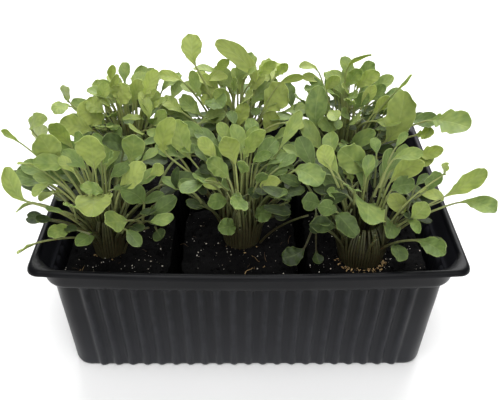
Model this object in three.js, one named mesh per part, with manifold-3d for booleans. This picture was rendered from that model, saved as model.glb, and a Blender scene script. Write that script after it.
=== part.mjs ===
// Potted arugula: six clumps of seedlings, each in its own block of potting soil, in one ribbed tray.
// Millimetres. The tray stands on z = 0 with its middle at the origin, its front at -Y and +Z up.
import * as THREE from "three";
import { mergeVertices } from "three/addons/utils/BufferGeometryUtils.js";
import Module from "manifold-3d";

// Tray: outer size over the rim, thickness of the plastic, and how far each long side bows out
const TRAY = {
  length: 275,
  width: 190,
  height: 101,
  wall: 1.2,
  bow: { front: 5.5, back: 2 },
};
// The pitch is the one at the top of the wall. The ribs close in as the wall tapers.
const RIB = { pitch: 10.55, onLongSide: 21, onShortSide: 13 };
// One rib across: distance from its middle, and how far it stands out of the wall
const RIB_SECTION = [
  [-3.5, 0],
  [-1.9, 1.7],
  [1.9, 1.7],
  [3.5, 0],
];
const DRAIN = { diameter: 7, sides: 10, x: [-80, 0, 80], y: [-38, 38] };

// Outlines of the tray from the underside up the outside, over the rim and down the inside:
// height, inset from the rim's edge, corner radius, and how fully the ribs stand out
const OUTSIDE = [
  { z: 0, inset: 16.2, corner: 10, ribs: 0.5 },
  { z: 4.4, inset: 15, corner: 11, ribs: 1 },
  { z: 78.6, inset: 10.9, corner: 12, ribs: 1 },
  { z: 81.9, inset: 10.5, corner: 12 },
  { z: 82.6, inset: 7.6, corner: 14 },
  { z: 84.2, inset: 6.1, corner: 15.5 },
  { z: 97.2, inset: 4, corner: 20 },
  { z: 97.4, inset: 0.7, corner: 8.5 },
  { z: 98.8, inset: 0, corner: 9 },
  { z: 100.4, inset: 0.9, corner: 9 },
  { z: 101, inset: 4.4, corner: 16 },
];
const INSIDE = [
  { z: 100.3, inset: 5.8, corner: 18 },
  { z: 86, inset: 7.3, corner: 14.5 },
  { z: 84.3, inset: 8.8, corner: 13 },
  { z: 83.1, inset: 11.8, corner: 11 },
  { z: 79, inset: 12.2, corner: 10.8 },
  { z: 6, inset: 16.2, corner: 10 },
  { z: 1.2, inset: 18.2, corner: 8.5 },
];

// Soil: blocks pressed in a square former, tapered, with a crumbly mounded top
const SOIL = {
  seat: 1.5,
  shoulder: 76,
  top: 84,
  mound: 2.6,
  lumps: 2.2,
  ragged: 0.035,
  draft: 0.93,
  corner: 0.93,
  cells: 5,
  hole: { clearance: 0.3, depth: 11, sides: 16 },
};
const COLUMNS = {
  left: { x: -86, width: 70 },
  middle: { x: -6.5, width: 79 },
  right: { x: 78, width: 80 },
};
const ROWS = {
  front: { y: -42.5, depth: 75 },
  back: { y: 39.5, depth: 77 },
};

// Packed stems of a clump: how deep they stand in the soil, the heights and flare of the bundle, and
// the grooves between its outer stems
const CORE = {
  stems: 12,
  groove: 0.9,
  levels: [
    { z: -10.5, flare: 0.96 },
    { z: 3, flare: 0.97 },
    { z: 21, flare: 1.16 },
  ],
};
// Leaf stalk: where it leaves the bundle, how it bends on its way to the blade, and where its rings are
const STALK = {
  radius: 0.85,
  leaves: { highest: 12, below: 7 },
  inBundle: { least: 0.2, perMm: 1 / 60, most: 0.62 },
  elbow: { out: 0.3, up: 0.62 },
  lowLeaf: 30,
  stops: [0, 0.42, 0.78],
  lowStops: [0, 0.55],
};
// Blade: its section, its arch, the scallops of its edge, its blunt tip, and where its rings are
const BLADE = {
  thickness: 0.8,
  cup: 0.1,
  wave: 0.045,
  scallop: 0.05,
  neck: 0.1,
  widest: 0.62,
  belly: { along: 0.28, up: 0.24 },
  tip: { half: 0.35, thick: 0.3 },
  large: 12,
  largeStops: [0, 0.22, 0.45, 0.68, 0.88, 1],
  stops: [0, 0.32, 0.66, 0.9, 1],
};
// The smaller leaves. round sets how fast the blade widens from its stalk.
const TRUE_LEAF = { reach: 0.82, length: 14, longer: 8, width: 0.5, wider: 0.12, round: 1.25 };
const SEED_LEAF = { reach: 0.72, length: 9, longer: 3, width: 0.85, wider: 0, round: 0.6 };
// How they fill each clump, placed round it by the golden angle from its skirt to its crown.
// Angles are in radians.
const FILL = {
  count: 42,
  goldenAngle: Math.PI * (3 - Math.sqrt(5)),
  seedLeaves: 0.3,
  stray: 0.35,
  lift: { skirt: 0.12, crown: 1.25, crowd: 1.1 },
  height: { skirt: 20, crown: -16 },
  lean: 10,
  uneven: 0.22,
  pitch: { skirt: 0.7, crown: 1.2, least: 0.5, vary: 0.6 },
  heading: 0.7,
  roll: 40,
  facing: { out: 0.35, front: -0.3, up: 0.85 },
};
// The way that the large leaves face, and how far leaves of two clumps keep apart
const LIGHT = new THREE.Vector3(0, -0.72, 0.69);
const CLEAR = 0.6;
// A leaf that is in another's way is drawn in and turned about its clump's foot, in degrees, by the
// first of these that serves
const SETTLE = { pulls: [1, 0.93, 0.86], turns: [0, 4, -4, 8, -8, 13, -13, 18, -18] };
// Points closer than this are one, and edges shorter than this are closed up
const WELD = 1e-4;
const FINEST = 0.03;

// Each clump: its foot on the soil, the radius of its packed stems, how wide and how tall it spreads,
// and its large leaves. A leaf is the start of its blade, the tip and the width, from the foot in
// millimetres, and how far it is rolled off the light, in degrees.
const CLUMPS = {
  front_left: {
    foot: [-93, -54],
    radius: 9.5,
    spread: 46,
    tall: 84,
    seed: 11,
    leaves: [
      [-39, -30, 62, -46, -27, 84, 10, 25],
      [-28, -10, 61, -33, -28, 64, 7, 20],
      [-35, -20, 54, -41, -39, 61, 5, 60],
      [-25, 4, 44, -31, -24, 58, 8, 20],
      [-17, -15, 31, -27, -35, 40, 9, 0],
      [-34, -40, 39, -38, -58, 46, 5, 55],
      [-5, -13, 25, -13, -30, 29, 9, 0],
      [31, -17, 37, 46, -18, 43, 8, 20],
      [31, -14, 41, 48, -12, 52, 10, 0],
      [23, -4, 25, 5, -30, 46, 14, 0],
      [-3, 5, 41, -2, -28, 49, 21, 0],
      [-3, 2, 64, -2, -5, 92, 17, 0],
      [-24, 1, 67, -30, -6, 93, 16, 0],
      [13, -6, 54, 31, -11, 74, 14, 0],
      [18, 8, 65, 23, 4, 87, 14, 0],
      [31, 2, 59, 40, -3, 69, 8, 0],
      [27, -6, 43, 15, -13, 59, 13, 0],
      [2, -5, 50, -11, -9, 57, 9, 20],
      [-14, -5, 66, -22, -4, 76, 7, 10],
      [-45, -2, 86, -51, -9, 97, 5, 50],
      [-40, 8, 88, -24, -6, 103, 9, 0],
      [-35, -9, 73, -41, -21, 82, 5, 50],
    ],
  },
  front_middle: {
    foot: [-5, -41],
    radius: 12.5,
    spread: 44,
    tall: 86,
    seed: 12,
    leaves: [
      [-34, 11, 58, -42, 20, 82, 13, 0],
      [-50, 12, 60, -42, 6, 90, 12, 0],
      [-27, 20, 54, -38, 6, 66, 6, 50],
      [-16, 3, 62, -27, 4, 77, 9, 0],
      [-4, 2, 60, -11, -3, 82, 13, 0],
      [1, 5, 60, 14, -7, 89, 9, 10],
      [-8, -3, 51, -22, -7, 67, 11, 0],
      [-11, -3, 44, -24, -11, 52, 8, 10],
      [-9, -10, 38, -21, -22, 45, 10, 0],
      [-4, -13, 21, -15, -24, 27, 11, 0],
      [8, -8, 26, 19, -19, 34, 11, 0],
      [11, -3, 44, 24, -13, 56, 8, 10],
      [0, -8, 26, 3, -15, 33, 6, 0],
      [31, -23, 48, 13, -15, 53, 8, 20],
      [32, -21, 37, 14, -19, 40, 8, 20],
      [40, -31, 16, 26, -33, 10, 12, 0],
      [48, -29, 12, 50, -36, 8, 7, 0],
      [34, -5, 60, 49, -19, 57, 15, 0],
      [37, -12, 52, 24, -14, 60, 7, 0],
    ],
  },
  front_right: {
    foot: [74, -59],
    radius: 15,
    spread: 48,
    tall: 82,
    seed: 13,
    leaves: [
      [15, 8, 54, 29, -9, 79, 12, 0],
      [50, 4, 42, 36, 12, 44, 8, 10],
      [49, -2, 50, 66, -11, 76, 11, 0],
      [56, -8, 50, 64, -42, 67, 12, 0],
      [41, -13, 73, 36, -20, 85, 6, 20],
      [38, 4, 50, 39, 0, 67, 11, 0],
      [3, 14, 32, -2, -19, 41, 22, 0],
      [-20, -12, 44, -8, -21, 33, 12, 0],
      [27, 8, 28, 12, 1, 47, 11, 0],
      [27, -10, 38, 34, -12, 52, 11, 0],
      [18, 6, 24, 11, -21, 32, 12, 0],
      [25, -9, 36, 28, -28, 41, 6, 20],
      [18, -12, 20, 16, -35, 25, 11, 0],
      [28, -26, 34, 37, -52, 44, 11, 0],
      [-24, 7, 64, -29, 11, 79, 11, 0],
      [2, 24, 46, -17, 22, 69, 17, 0],
      [-21, -17, 37, -38, -28, 48, 10, 0],
      [-31, -14, 52, -43, -20, 59, 11, 0],
      [-20, -12, 45, -33, -17, 53, 10, 0],
      [-6, 24, 42, -11, 31, 56, 8, 10],
    ],
  },
  back_left: {
    foot: [-86, 36],
    radius: 11,
    spread: 46,
    tall: 88,
    seed: 14,
    leaves: [
      [-44, 2, 62, -38, -14, 82, 10, 0],
      [-46, 13, 54, -52, -11, 60, 10, 0],
      [-10, -5, 83, -7, -9, 97, 6, 20],
      [-9, -10, 75, -4, -13, 92, 6, 30],
      [-17, -11, 70, -12, -10, 84, 9, 0],
      [-5, -10, 66, 3, -14, 84, 13, 0],
      [14, -18, 78, 24, -17, 97, 10, 0],
      [17, -23, 62, 11, -15, 80, 8, 20],
      [12, -15, 58, -1, -26, 64, 7, 30],
      [-17, -11, 53, -34, -17, 68, 17, 0],
      [19, -23, 58, 29, -26, 71, 8, 20],
      [-66, -12, 36, -50, -38, 64, 14, 0],
    ],
  },
  back_middle: {
    foot: [-8, 38],
    radius: 12.5,
    spread: 44,
    tall: 98,
    seed: 15,
    leaves: [
      [-30, 2, 90, -30, -7, 119, 14, 0],
      [10, 3, 79, -15, -17, 116, 14, 10],
      [-14, 4, 83, -6, -2, 97, 7, 30],
      [-39, 0, 80, -55, -6, 87, 9, 15],
      [-26, -5, 68, -32, 2, 87, 8, 20],
      [-22, 12, 73, -7, -8, 86, 8, 10],
      [-18, -1, 66, -10, -26, 72, 15, 0],
      [-40, -6, 58, -54, 6, 64, 10, 0],
      [-27, -1, 53, -42, 12, 61, 11, 0],
      [1, -15, 52, 6, -16, 71, 10, 0],
      [15, 4, 80, 27, -1, 95, 8, 10],
      [27, 11, 78, 36, 6, 90, 7, 20],
      [20, -2, 56, 35, -6, 79, 19, 0],
      [29, -2, 78, 46, -14, 90, 6, 50],
      [20, -5, 40, 27, -8, 60, 13, 0],
      [-43, -31, 37, -47, -34, 68, 14, 0],
    ],
  },
  back_right: {
    foot: [72, 36],
    radius: 13,
    spread: 46,
    tall: 90,
    seed: 16,
    leaves: [
      [-22, 7, 86, -37, -8, 95, 7, 20],
      [-18, 7, 75, -35, -5, 86, 7, 20],
      [-23, -18, 52, -22, -8, 81, 15, 0],
      [-3, 4, 88, 10, -15, 108, 4, 60],
      [-2, 0, 76, 6, -6, 93, 9, 0],
      [5, 0, 75, 19, -9, 91, 10, 0],
      [-16, 3, 72, -8, -6, 86, 8, 10],
      [8, -9, 64, 16, -11, 83, 8, 20],
      [27, -22, 44, 33, -25, 87, 19, 0],
      [29, -19, 82, 37, -22, 97, 4, 60],
      [53, -27, 65, 73, -52, 73, 18, 0],
      [49, -14, 45, 58, -27, 54, 9, 10],
      [45, -32, 39, 61, -45, 52, 9, 10],
      [43, -31, 32, 57, -41, 42, 8, 10],
      [0, -25, 42, 15, -36, 60, 11, 0],
      [17, -11, 61, 26, -16, 77, 8, 20],
    ],
  },
};

const PLASTIC = new THREE.MeshStandardMaterial({ color: 0x1c1f22, roughness: 0.42, metalness: 0 });
const PEAT = new THREE.MeshStandardMaterial({ color: 0x17130f, roughness: 1, metalness: 0 });
const LEAF = new THREE.MeshStandardMaterial({ color: 0x7d9a3c, roughness: 0.55, metalness: 0 });

const wasm = await Module();
wasm.setup();
const { Manifold, Mesh } = wasm;

// A repeatable stream of numbers from 0 to 1
function draws(seed) {
  let state = seed;
  return () => {
    state = (state + 0x6d2b79f5) | 0;
    let t = Math.imul(state ^ (state >>> 15), 1 | state);
    t = (t + Math.imul(t ^ (t >>> 7), 61 | t)) ^ t;
    return ((t ^ (t >>> 14)) >>> 0) / 4294967296;
  };
}

const mix = THREE.MathUtils.lerp;
const UPRIGHT = new THREE.Vector3(0, 0, 1);

// A solid that can be joined and cut, from a closed geometry
function solidOf(geometry) {
  const merged = mergeVertices(geometry, WELD);
  return new Manifold(
    new Mesh({
      numProp: 3,
      vertProperties: merged.attributes.position.array,
      triVerts: new Uint32Array(merged.index.array),
    }),
  );
}

function solidFrom(points, triangles) {
  const geometry = new THREE.BufferGeometry().setFromPoints(points);
  geometry.setIndex(triangles.flat());
  return solidOf(geometry);
}

// A named mesh of a solid
function meshOf(name, solid, material) {
  const made = solid.getMesh();
  const geometry = new THREE.BufferGeometry();
  geometry.setAttribute("position", new THREE.BufferAttribute(new Float32Array(made.vertProperties), 3));
  geometry.setIndex(new THREE.BufferAttribute(new Uint32Array(made.triVerts), 1));
  geometry.computeVertexNormals();
  const mesh = new THREE.Mesh(geometry, material);
  mesh.name = name;
  return mesh;
}

// A closed skin over rings of points, lowest first, each running anticlockwise seen from the ring after
// it. Neighbouring strips are split the opposite way, so that the two faces of a thin blade are split
// alike and never cross.
function skin(rings) {
  const points = rings.flat();
  const triangles = [];
  const across = rings[0].length;
  for (let r = 0; r + 1 < rings.length; r++) {
    for (let i = 0; i < across; i++) {
      const a = r * across + i;
      const b = r * across + ((i + 1) % across);
      if (i % 2) {
        triangles.push([a, b, b + across], [a, b + across, a + across]);
      } else {
        triangles.push([a, b, a + across], [b, b + across, a + across]);
      }
    }
  }
  for (let i = 1; i + 1 < across; i++) {
    const top = (rings.length - 1) * across;
    triangles.push([0, i + 1, i], [top, top + i, top + i + 1]);
  }
  return solidFrom(points, triangles);
}

// How far one side of an outline is from the middle, and half the length of its straight stretch
function sideOf(side, { inset, corner }) {
  const [along, out] = side % 2 ? [TRAY.width, TRAY.length] : [TRAY.length, TRAY.width];
  return { out: out / 2 - inset, straight: along / 2 - inset - corner };
}

// One outline of the tray. Each point carries its place round the outline, so that rings can be joined.
function trayRing({ z, inset, corner, ribs }) {
  const topOfRibs = OUTSIDE.findLast((outline) => outline.ribs);
  const ring = [];
  for (let side = 0; side < 4; side++) {
    const { out, straight } = sideOf(side, { inset, corner });
    const reach = straight + (corner * Math.PI) / 4;
    const pitch = (RIB.pitch * straight) / sideOf(side, topOfRibs).straight;
    for (const [s, proud] of sideStations(side, straight, reach, ribs, pitch)) {
      const turned = Math.max(0, Math.abs(s) - straight) / corner;
      const radius = corner + proud;
      const u = Math.sign(s) * (Math.min(Math.abs(s), straight) + radius * Math.sin(turned));
      const v = out - corner + radius * Math.cos(turned);
      const point = new THREE.Vector3(u, -v, z).applyAxisAngle(UPRIGHT, (side * Math.PI) / 2);
      const bow = point.y < 0 ? TRAY.bow.front : TRAY.bow.back;
      const belly = 1 - (point.x / (TRAY.length / 2)) ** 2;
      point.y *= 1 + (bow / (TRAY.width / 2)) * belly * (z / TRAY.height);
      point.place = side + (s / reach + 1) / 2;
      ring.push(point);
    }
  }
  return ring;
}

// Where one side of an outline has its points, from one corner's middle to the next: distance along
// the side, and how far a rib stands out there
function sideStations(side, straight, reach, ribs, pitch) {
  const inner = [];
  let last = straight;
  if (ribs) {
    const count = side % 2 ? RIB.onShortSide : RIB.onLongSide;
    for (let i = 0; i < count; i++) {
      const middle = (i - (count - 1) / 2) * pitch;
      for (const [across, proud] of RIB_SECTION) {
        inner.push([middle + across, proud * ribs]);
      }
    }
    last = inner.at(-1)[0];
  } else {
    inner.push([-straight, 0], [-straight / 2, 0], [0, 0], [straight / 2, 0], [straight, 0]);
  }
  const turn = (reach + last) / 2;
  return [[-turn, 0], ...inner, [turn, 0], [reach, 0]];
}

// Triangles between two outlines that may have different numbers of points
function bridge(low, high, startLow, startHigh, triangles) {
  let i = 0;
  let j = 0;
  const at = (ring, k) => ring[k % ring.length].place + (k >= ring.length ? 4 : 0);
  while (i < low.length || j < high.length) {
    const a = startLow + (i % low.length);
    const b = startHigh + (j % high.length);
    const lowNext = i < low.length && (j >= high.length || at(low, i + 1) <= at(high, j + 1));
    if (lowNext) {
      triangles.push([a, startLow + ((i + 1) % low.length), b]);
      i++;
    } else {
      triangles.push([a, startHigh + ((j + 1) % high.length), b]);
      j++;
    }
  }
}

// Flat triangles across one outline
function lid(ring, start, faceUp) {
  const faces = THREE.ShapeUtils.triangulateShape(ring.map((p) => new THREE.Vector2(p.x, p.y)), []);
  return faces.map(([a, b, c]) => {
    const face = faceUp ? [a, b, c] : [a, c, b];
    return face.map((k) => start + k);
  });
}

function makeTray() {
  const rings = [...OUTSIDE, ...INSIDE].map(trayRing);
  const starts = [];
  const points = [];
  for (const ring of rings) {
    starts.push(points.length);
    points.push(...ring);
  }
  const triangles = [...lid(rings[0], 0, false), ...lid(rings.at(-1), starts.at(-1), true)];
  for (let r = 0; r + 1 < rings.length; r++) {
    bridge(rings[r], rings[r + 1], starts[r], starts[r + 1], triangles);
  }
  let tray = solidFrom(points, triangles);
  for (const x of DRAIN.x) {
    for (const y of DRAIN.y) {
      tray = tray.subtract(plug(x, y, DRAIN.diameter / 2, -1, TRAY.wall + 1, DRAIN.sides));
    }
  }
  return tray;
}

// A plain upright cylinder
function plug(x, y, radius, bottom, top, sides) {
  const cylinder = new THREE.CylinderGeometry(radius, radius, top - bottom, sides);
  cylinder.rotateX(Math.PI / 2).translate(x, y, (top + bottom) / 2);
  cylinder.deleteAttribute("normal");
  cylinder.deleteAttribute("uv");
  return solidOf(cylinder);
}

// A block of soil: a tapered square with a lumpy, mounded top
function makeSoil(column, row, clump) {
  const random = draws(clump.seed * 7);
  const n = SOIL.cells;
  const top = [];
  for (let j = 0; j <= n; j++) {
    for (let i = 0; i <= n; i++) {
      const u = (2 * i) / n - 1;
      const v = (2 * j) / n - 1;
      const edge = Math.max(Math.abs(u), Math.abs(v));
      const rough = (random() - 0.5) * SOIL.lumps;
      const drop = SOIL.mound * edge ** 4;
      const atCorner = Math.abs(u) === 1 && Math.abs(v) === 1;
      const ragged = (edge === 1 ? 1 - SOIL.ragged * random() : 1) * (atCorner ? SOIL.corner : 1);
      top.push(
        new THREE.Vector3(
          column.x + (u * ragged * column.width) / 2,
          row.y + (v * ragged * row.depth) / 2,
          SOIL.top + rough - drop,
        ),
      );
    }
  }
  const rim = [];
  for (let i = 0; i < n; i++) rim.push(i);
  for (let j = 0; j < n; j++) rim.push(j * (n + 1) + n);
  for (let i = n; i > 0; i--) rim.push(n * (n + 1) + i);
  for (let j = n; j > 0; j--) rim.push(j * (n + 1));
  const lower = (height, share) =>
    rim.map((k) => new THREE.Vector3(top[k].x * share, top[k].y * share, height));
  const waist = lower(SOIL.shoulder, 1);
  const foot = lower(SOIL.seat, SOIL.draft);
  const points = [...top, ...waist, ...foot];
  const atWaist = top.length;
  const atFoot = atWaist + rim.length;
  const triangles = [];
  for (let j = 0; j < n; j++) {
    for (let i = 0; i < n; i++) {
      const a = j * (n + 1) + i;
      const b = a + n + 1;
      triangles.push([a, a + 1, b + 1], [a, b + 1, b]);
    }
  }
  for (let k = 0; k < rim.length; k++) {
    const next = (k + 1) % rim.length;
    triangles.push([atWaist + k, rim[next], rim[k]], [atWaist + k, atWaist + next, rim[next]]);
    triangles.push([atFoot + k, atWaist + next, atWaist + k], [atFoot + k, atFoot + next, atWaist + next]);
  }
  for (let k = 1; k + 1 < rim.length; k++) {
    triangles.push([atFoot, atFoot + k + 1, atFoot + k]);
  }
  const [x, y] = clump.foot;
  const { clearance, depth, sides } = SOIL.hole;
  const above = SOIL.top + SOIL.mound + SOIL.lumps;
  const hole = plug(x, y, clump.radius + clearance, SOIL.top - depth, above, sides);
  return solidFrom(points, triangles).subtract(hole);
}

// The packed stems of a clump: a fluted bundle that widens as it leaves the soil
function makeCore({ foot, radius }) {
  const count = CORE.stems * 2;
  const rings = CORE.levels.map(({ z, flare }) =>
    Array.from({ length: count }, (_, i) => {
      const angle = (i / count) * 2 * Math.PI;
      const r = radius * flare - (i % 2) * CORE.groove;
      const x = foot[0] + r * Math.cos(angle);
      const y = foot[1] + r * Math.sin(angle);
      return new THREE.Vector3(x, y, SOIL.top + z);
    }),
  );
  return skin(rings);
}

// How wide a blade is at u, from 0 at its start to 1 at its tip, as a share of its full width
function bladeWidth(u, round) {
  const { widest, neck } = BLADE;
  if (u >= widest) {
    return Math.sqrt(Math.max(0, 1 - ((u - widest) / (1 - widest)) ** 2));
  }
  return neck + (1 - neck) * Math.sin((Math.PI / 2) * (u / widest)) ** round;
}

// A leaf as its centre line and the frame along it: a stalk that rises from the packed stems and bends
// out, and a blade that carries on from it
function leafLine(leaf) {
  const { root, base, tip } = leaf;
  const { out, up } = STALK.elbow;
  const elbow = root.clone().lerp(base, out);
  elbow.z = mix(root.z, base.z, up);
  const onward = base.clone().sub(elbow).normalize();
  const straight = tip.clone().sub(base);
  const arch = BLADE.belly.up * straight.length();
  const belly = base.clone().addScaledVector(straight, BLADE.belly.along).addScaledVector(onward, arch);
  return {
    stalk: new THREE.QuadraticBezierCurve3(root, elbow, base),
    blade: new THREE.QuadraticBezierCurve3(base, belly, tip),
    straight: straight.normalize(),
  };
}

// The solid of one leaf. grow thickens and widens it, to test that it is clear of a neighbour.
function leafSolid(leaf, grow = 0) {
  const { stalk, blade, straight } = leafLine(leaf);
  const large = leaf.width >= BLADE.large;
  const stalkStops = leaf.low ? STALK.lowStops : STALK.stops;
  const bladeStops = large ? BLADE.largeStops : BLADE.stops;
  const stations = [
    ...stalkStops.map((t) => ({ at: stalk.getPoint(t), along: stalk.getTangent(t), u: -1 })),
    ...bladeStops.map((u) => ({ at: blade.getPoint(u), along: blade.getTangent(u), u })),
  ];
  const middle = stalkStops.length + 1;
  const facing = leaf.facing.clone().applyAxisAngle(straight, THREE.MathUtils.degToRad(leaf.roll));
  const carry = (station, from) => {
    const side = from.clone().addScaledVector(station.along, -from.dot(station.along));
    station.side = side.normalize();
  };
  carry(stations[middle], new THREE.Vector3().crossVectors(facing, straight).negate());
  for (let i = middle + 1; i < stations.length; i++) carry(stations[i], stations[i - 1].side);
  for (let i = middle - 1; i >= 0; i--) carry(stations[i], stations[i + 1].side);
  const rings = stations.map((station, i) => leafRing(leaf, station, i, large, grow));
  return skin(rings);
}

// The points round a leaf at one station: the two margins, the keel below and, on a large leaf, the top.
// The margins of a large leaf wave against each other, and those of a small one together.
function leafRing(leaf, { at, along, side, u }, index, large, grow) {
  const up = new THREE.Vector3().crossVectors(side, along);
  const swing = index % 2 ? 1 : -1;
  const inBlade = u > 0 && u < 1;
  let half = STALK.radius;
  let lift = 0;
  let wave = 0;
  let thick = STALK.radius;
  if (inBlade) {
    half = (leaf.width / 2) * bladeWidth(u, leaf.round) * (1 + BLADE.scallop * swing);
    lift = BLADE.cup * half;
    wave = BLADE.wave * leaf.width * swing;
    thick = BLADE.thickness / 2;
  } else if (u === 1) {
    half = BLADE.tip.half;
    thick = BLADE.tip.thick;
  }
  const point = (across, above) => at.clone().addScaledVector(side, across).addScaledVector(up, above);
  const keel = point(0, -thick - grow);
  if (large) {
    return [point(-half - grow, lift + wave), point(0, thick + grow), point(half + grow, lift - wave), keel];
  }
  const level = (inBlade ? lift : thick / 2) + wave + grow;
  return [point(-half - grow, level), point(half + grow, level), keel];
}

// A leaf of a clump from its start, tip, width and roll, turned about the foot by spin and drawn in by pull
function placeLeaf(clump, start, end, width, roll, options, spin = 0, pull = 1) {
  const foot = new THREE.Vector3(clump.foot[0], clump.foot[1], SOIL.top);
  const place = ([x, y, z]) => {
    const point = new THREE.Vector3(x * pull, y * pull, z);
    return point.applyAxisAngle(UPRIGHT, spin).add(foot);
  };
  const base = place(start);
  const flat = new THREE.Vector3(base.x - foot.x, base.y - foot.y, 0);
  const { least, perMm, most } = STALK.inBundle;
  const inBundle = Math.min(most, flat.length() * perMm + least) * clump.radius;
  const height = Math.min(STALK.leaves.highest, start[2] - STALK.leaves.below);
  const root = foot.clone().add(flat.setLength(inBundle)).add(new THREE.Vector3(0, 0, height));
  const low = start[2] < STALK.lowLeaf;
  return { root, base, tip: place(end), width, roll, low, ...options };
}

// The smaller leaves of a clump: seed leaves low down, true leaves above, all round it
function fillLeaves(clump) {
  const random = draws(clump.seed);
  const away = new THREE.Vector2(...clump.foot).normalize();
  const leaves = [];
  for (let i = 0; i < FILL.count; i++) {
    const share = (i + 0.5) / FILL.count;
    const turn = i * FILL.goldenAngle + (random() - 0.5) * FILL.stray;
    const kind = share < FILL.seedLeaves ? SEED_LEAF : TRUE_LEAF;
    const lift = mix(FILL.lift.skirt, FILL.lift.crown, share ** FILL.lift.crowd);
    const outward = Math.cos(turn) * away.x + Math.sin(turn) * away.y;
    const spread = clump.spread + FILL.lean * Math.max(0, outward);
    const reach = kind.reach + FILL.uneven * random();
    const tip = [
      Math.cos(turn) * Math.cos(lift) * spread * reach,
      Math.sin(turn) * Math.cos(lift) * spread * reach,
      FILL.height.skirt + Math.sin(lift) * (clump.tall + FILL.height.crown) * reach,
    ];
    const length = kind.length + kind.longer * random();
    const { skirt, crown, least, vary } = FILL.pitch;
    const pitch = mix(lift * skirt, crown, share ** 2) * (least + vary * random());
    const heading = turn + (random() - 0.5) * FILL.heading;
    const base = [
      tip[0] - length * Math.cos(pitch) * Math.cos(heading),
      tip[1] - length * Math.cos(pitch) * Math.sin(heading),
      tip[2] - length * Math.sin(pitch),
    ];
    const width = length * (kind.width + (kind.wider && kind.wider * random()));
    const { out, front, up } = FILL.facing;
    const facing = new THREE.Vector3(Math.cos(turn) * out, Math.sin(turn) * out + front, up).normalize();
    leaves.push([base, tip, width, (random() - 0.5) * FILL.roll, { facing, round: kind.round }]);
  }
  return leaves;
}

// Whether a solid keeps clear of every solid in a list
function isClear(solid, others) {
  const box = solid.boundingBox();
  return others.every((other) => {
    const apart = [0, 1, 2].some((k) => box.min[k] > other.box.max[k] || box.max[k] < other.box.min[k]);
    return apart || solid.intersect(other.solid).isEmpty();
  });
}

// A leaf set where it belongs, or turned a little about its clump's foot until it clears its neighbours
function settleLeaf(clump, row, others) {
  for (const pull of SETTLE.pulls) {
    for (const turn of SETTLE.turns) {
      const leaf = placeLeaf(clump, ...row, THREE.MathUtils.degToRad(turn), pull);
      if (isClear(leafSolid(leaf, CLEAR), others)) return leafSolid(leaf);
    }
  }
  return null;
}

const clumpNames = Object.keys(CLUMPS);
const boxed = (solid) => ({ solid, box: solid.boundingBox() });

const tray = makeTray();
const soils = clumpNames.map((name) => {
  const [row, column] = name.split("_");
  return makeSoil(COLUMNS[column], ROWS[row], CLUMPS[name]);
});
const cores = clumpNames.map((name) => makeCore(CLUMPS[name]));
const bunches = cores.map((core) => [boxed(core)]);
const still = [boxed(tray), ...soils.map(boxed)];

function growLeaves(rowsOf, clearOfOwn) {
  clumpNames.forEach((name, k) => {
    for (const row of rowsOf(CLUMPS[name])) {
      const others = [...still, ...bunches.flatMap((bunch, j) => (j === k ? [] : bunch))];
      const own = clearOfOwn ? bunches[k].slice(1) : [];
      const grown = settleLeaf(CLUMPS[name], row, [...others, ...own]);
      if (grown) bunches[k].push(boxed(grown));
    }
  });
}
const largeLeaves = ({ leaves }) =>
  leaves.map(([x, y, z, tipX, tipY, tipZ, width, roll]) => [
    [x, y, z],
    [tipX, tipY, tipZ],
    width,
    roll,
    { facing: LIGHT, round: TRUE_LEAF.round },
  ]);
growLeaves(largeLeaves, false);
growLeaves(fillLeaves, true);

const pot = new THREE.Group();
pot.add(meshOf("tray", tray, PLASTIC));
clumpNames.forEach((name, k) => {
  pot.add(meshOf("soil_" + name, soils[k], PEAT));
  const joined = bunches[k].reduce((all, { solid }) => all.add(solid), cores[k]);
  const tidied = joined.asOriginal().simplify(FINEST);
  const whole = tidied.decompose().sort((a, b) => b.volume() - a.volume())[0];
  pot.add(meshOf("seedlings_" + name, whole, LEAF));
});

export default pot;
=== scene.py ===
# Potted arugula: the finish of a ribbed growing tray with six clumps of seedlings, built round its frame.
import math

import bmesh
import bpy
import numpy as np
from bpy.props import FloatProperty, FloatVectorProperty, IntProperty, PointerProperty
from mathutils import Euler, Matrix, Vector, noise


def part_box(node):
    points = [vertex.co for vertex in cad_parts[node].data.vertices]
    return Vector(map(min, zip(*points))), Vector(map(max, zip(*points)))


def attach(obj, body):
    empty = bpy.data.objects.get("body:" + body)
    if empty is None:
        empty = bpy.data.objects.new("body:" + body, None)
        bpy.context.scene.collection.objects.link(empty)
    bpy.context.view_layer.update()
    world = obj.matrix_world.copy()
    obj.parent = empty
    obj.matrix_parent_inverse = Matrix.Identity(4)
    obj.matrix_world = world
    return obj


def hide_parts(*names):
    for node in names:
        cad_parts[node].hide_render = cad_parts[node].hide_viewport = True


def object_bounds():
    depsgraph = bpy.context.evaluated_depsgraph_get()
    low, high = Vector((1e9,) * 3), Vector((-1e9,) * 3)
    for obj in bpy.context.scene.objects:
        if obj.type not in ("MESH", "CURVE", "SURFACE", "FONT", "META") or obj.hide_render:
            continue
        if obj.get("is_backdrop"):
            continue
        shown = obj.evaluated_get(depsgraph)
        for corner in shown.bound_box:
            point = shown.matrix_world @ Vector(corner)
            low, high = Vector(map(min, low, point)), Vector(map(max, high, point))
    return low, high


bl_info = {
    "name": "Potted Arugula",
    "version": (1, 0, 0),
    "blender": (4, 5, 0),
    "location": "View3D > Sidebar > Arugula",
    "description": "A ribbed growing tray with six clumps of arugula seedlings",
    "category": "Object",
}

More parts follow.
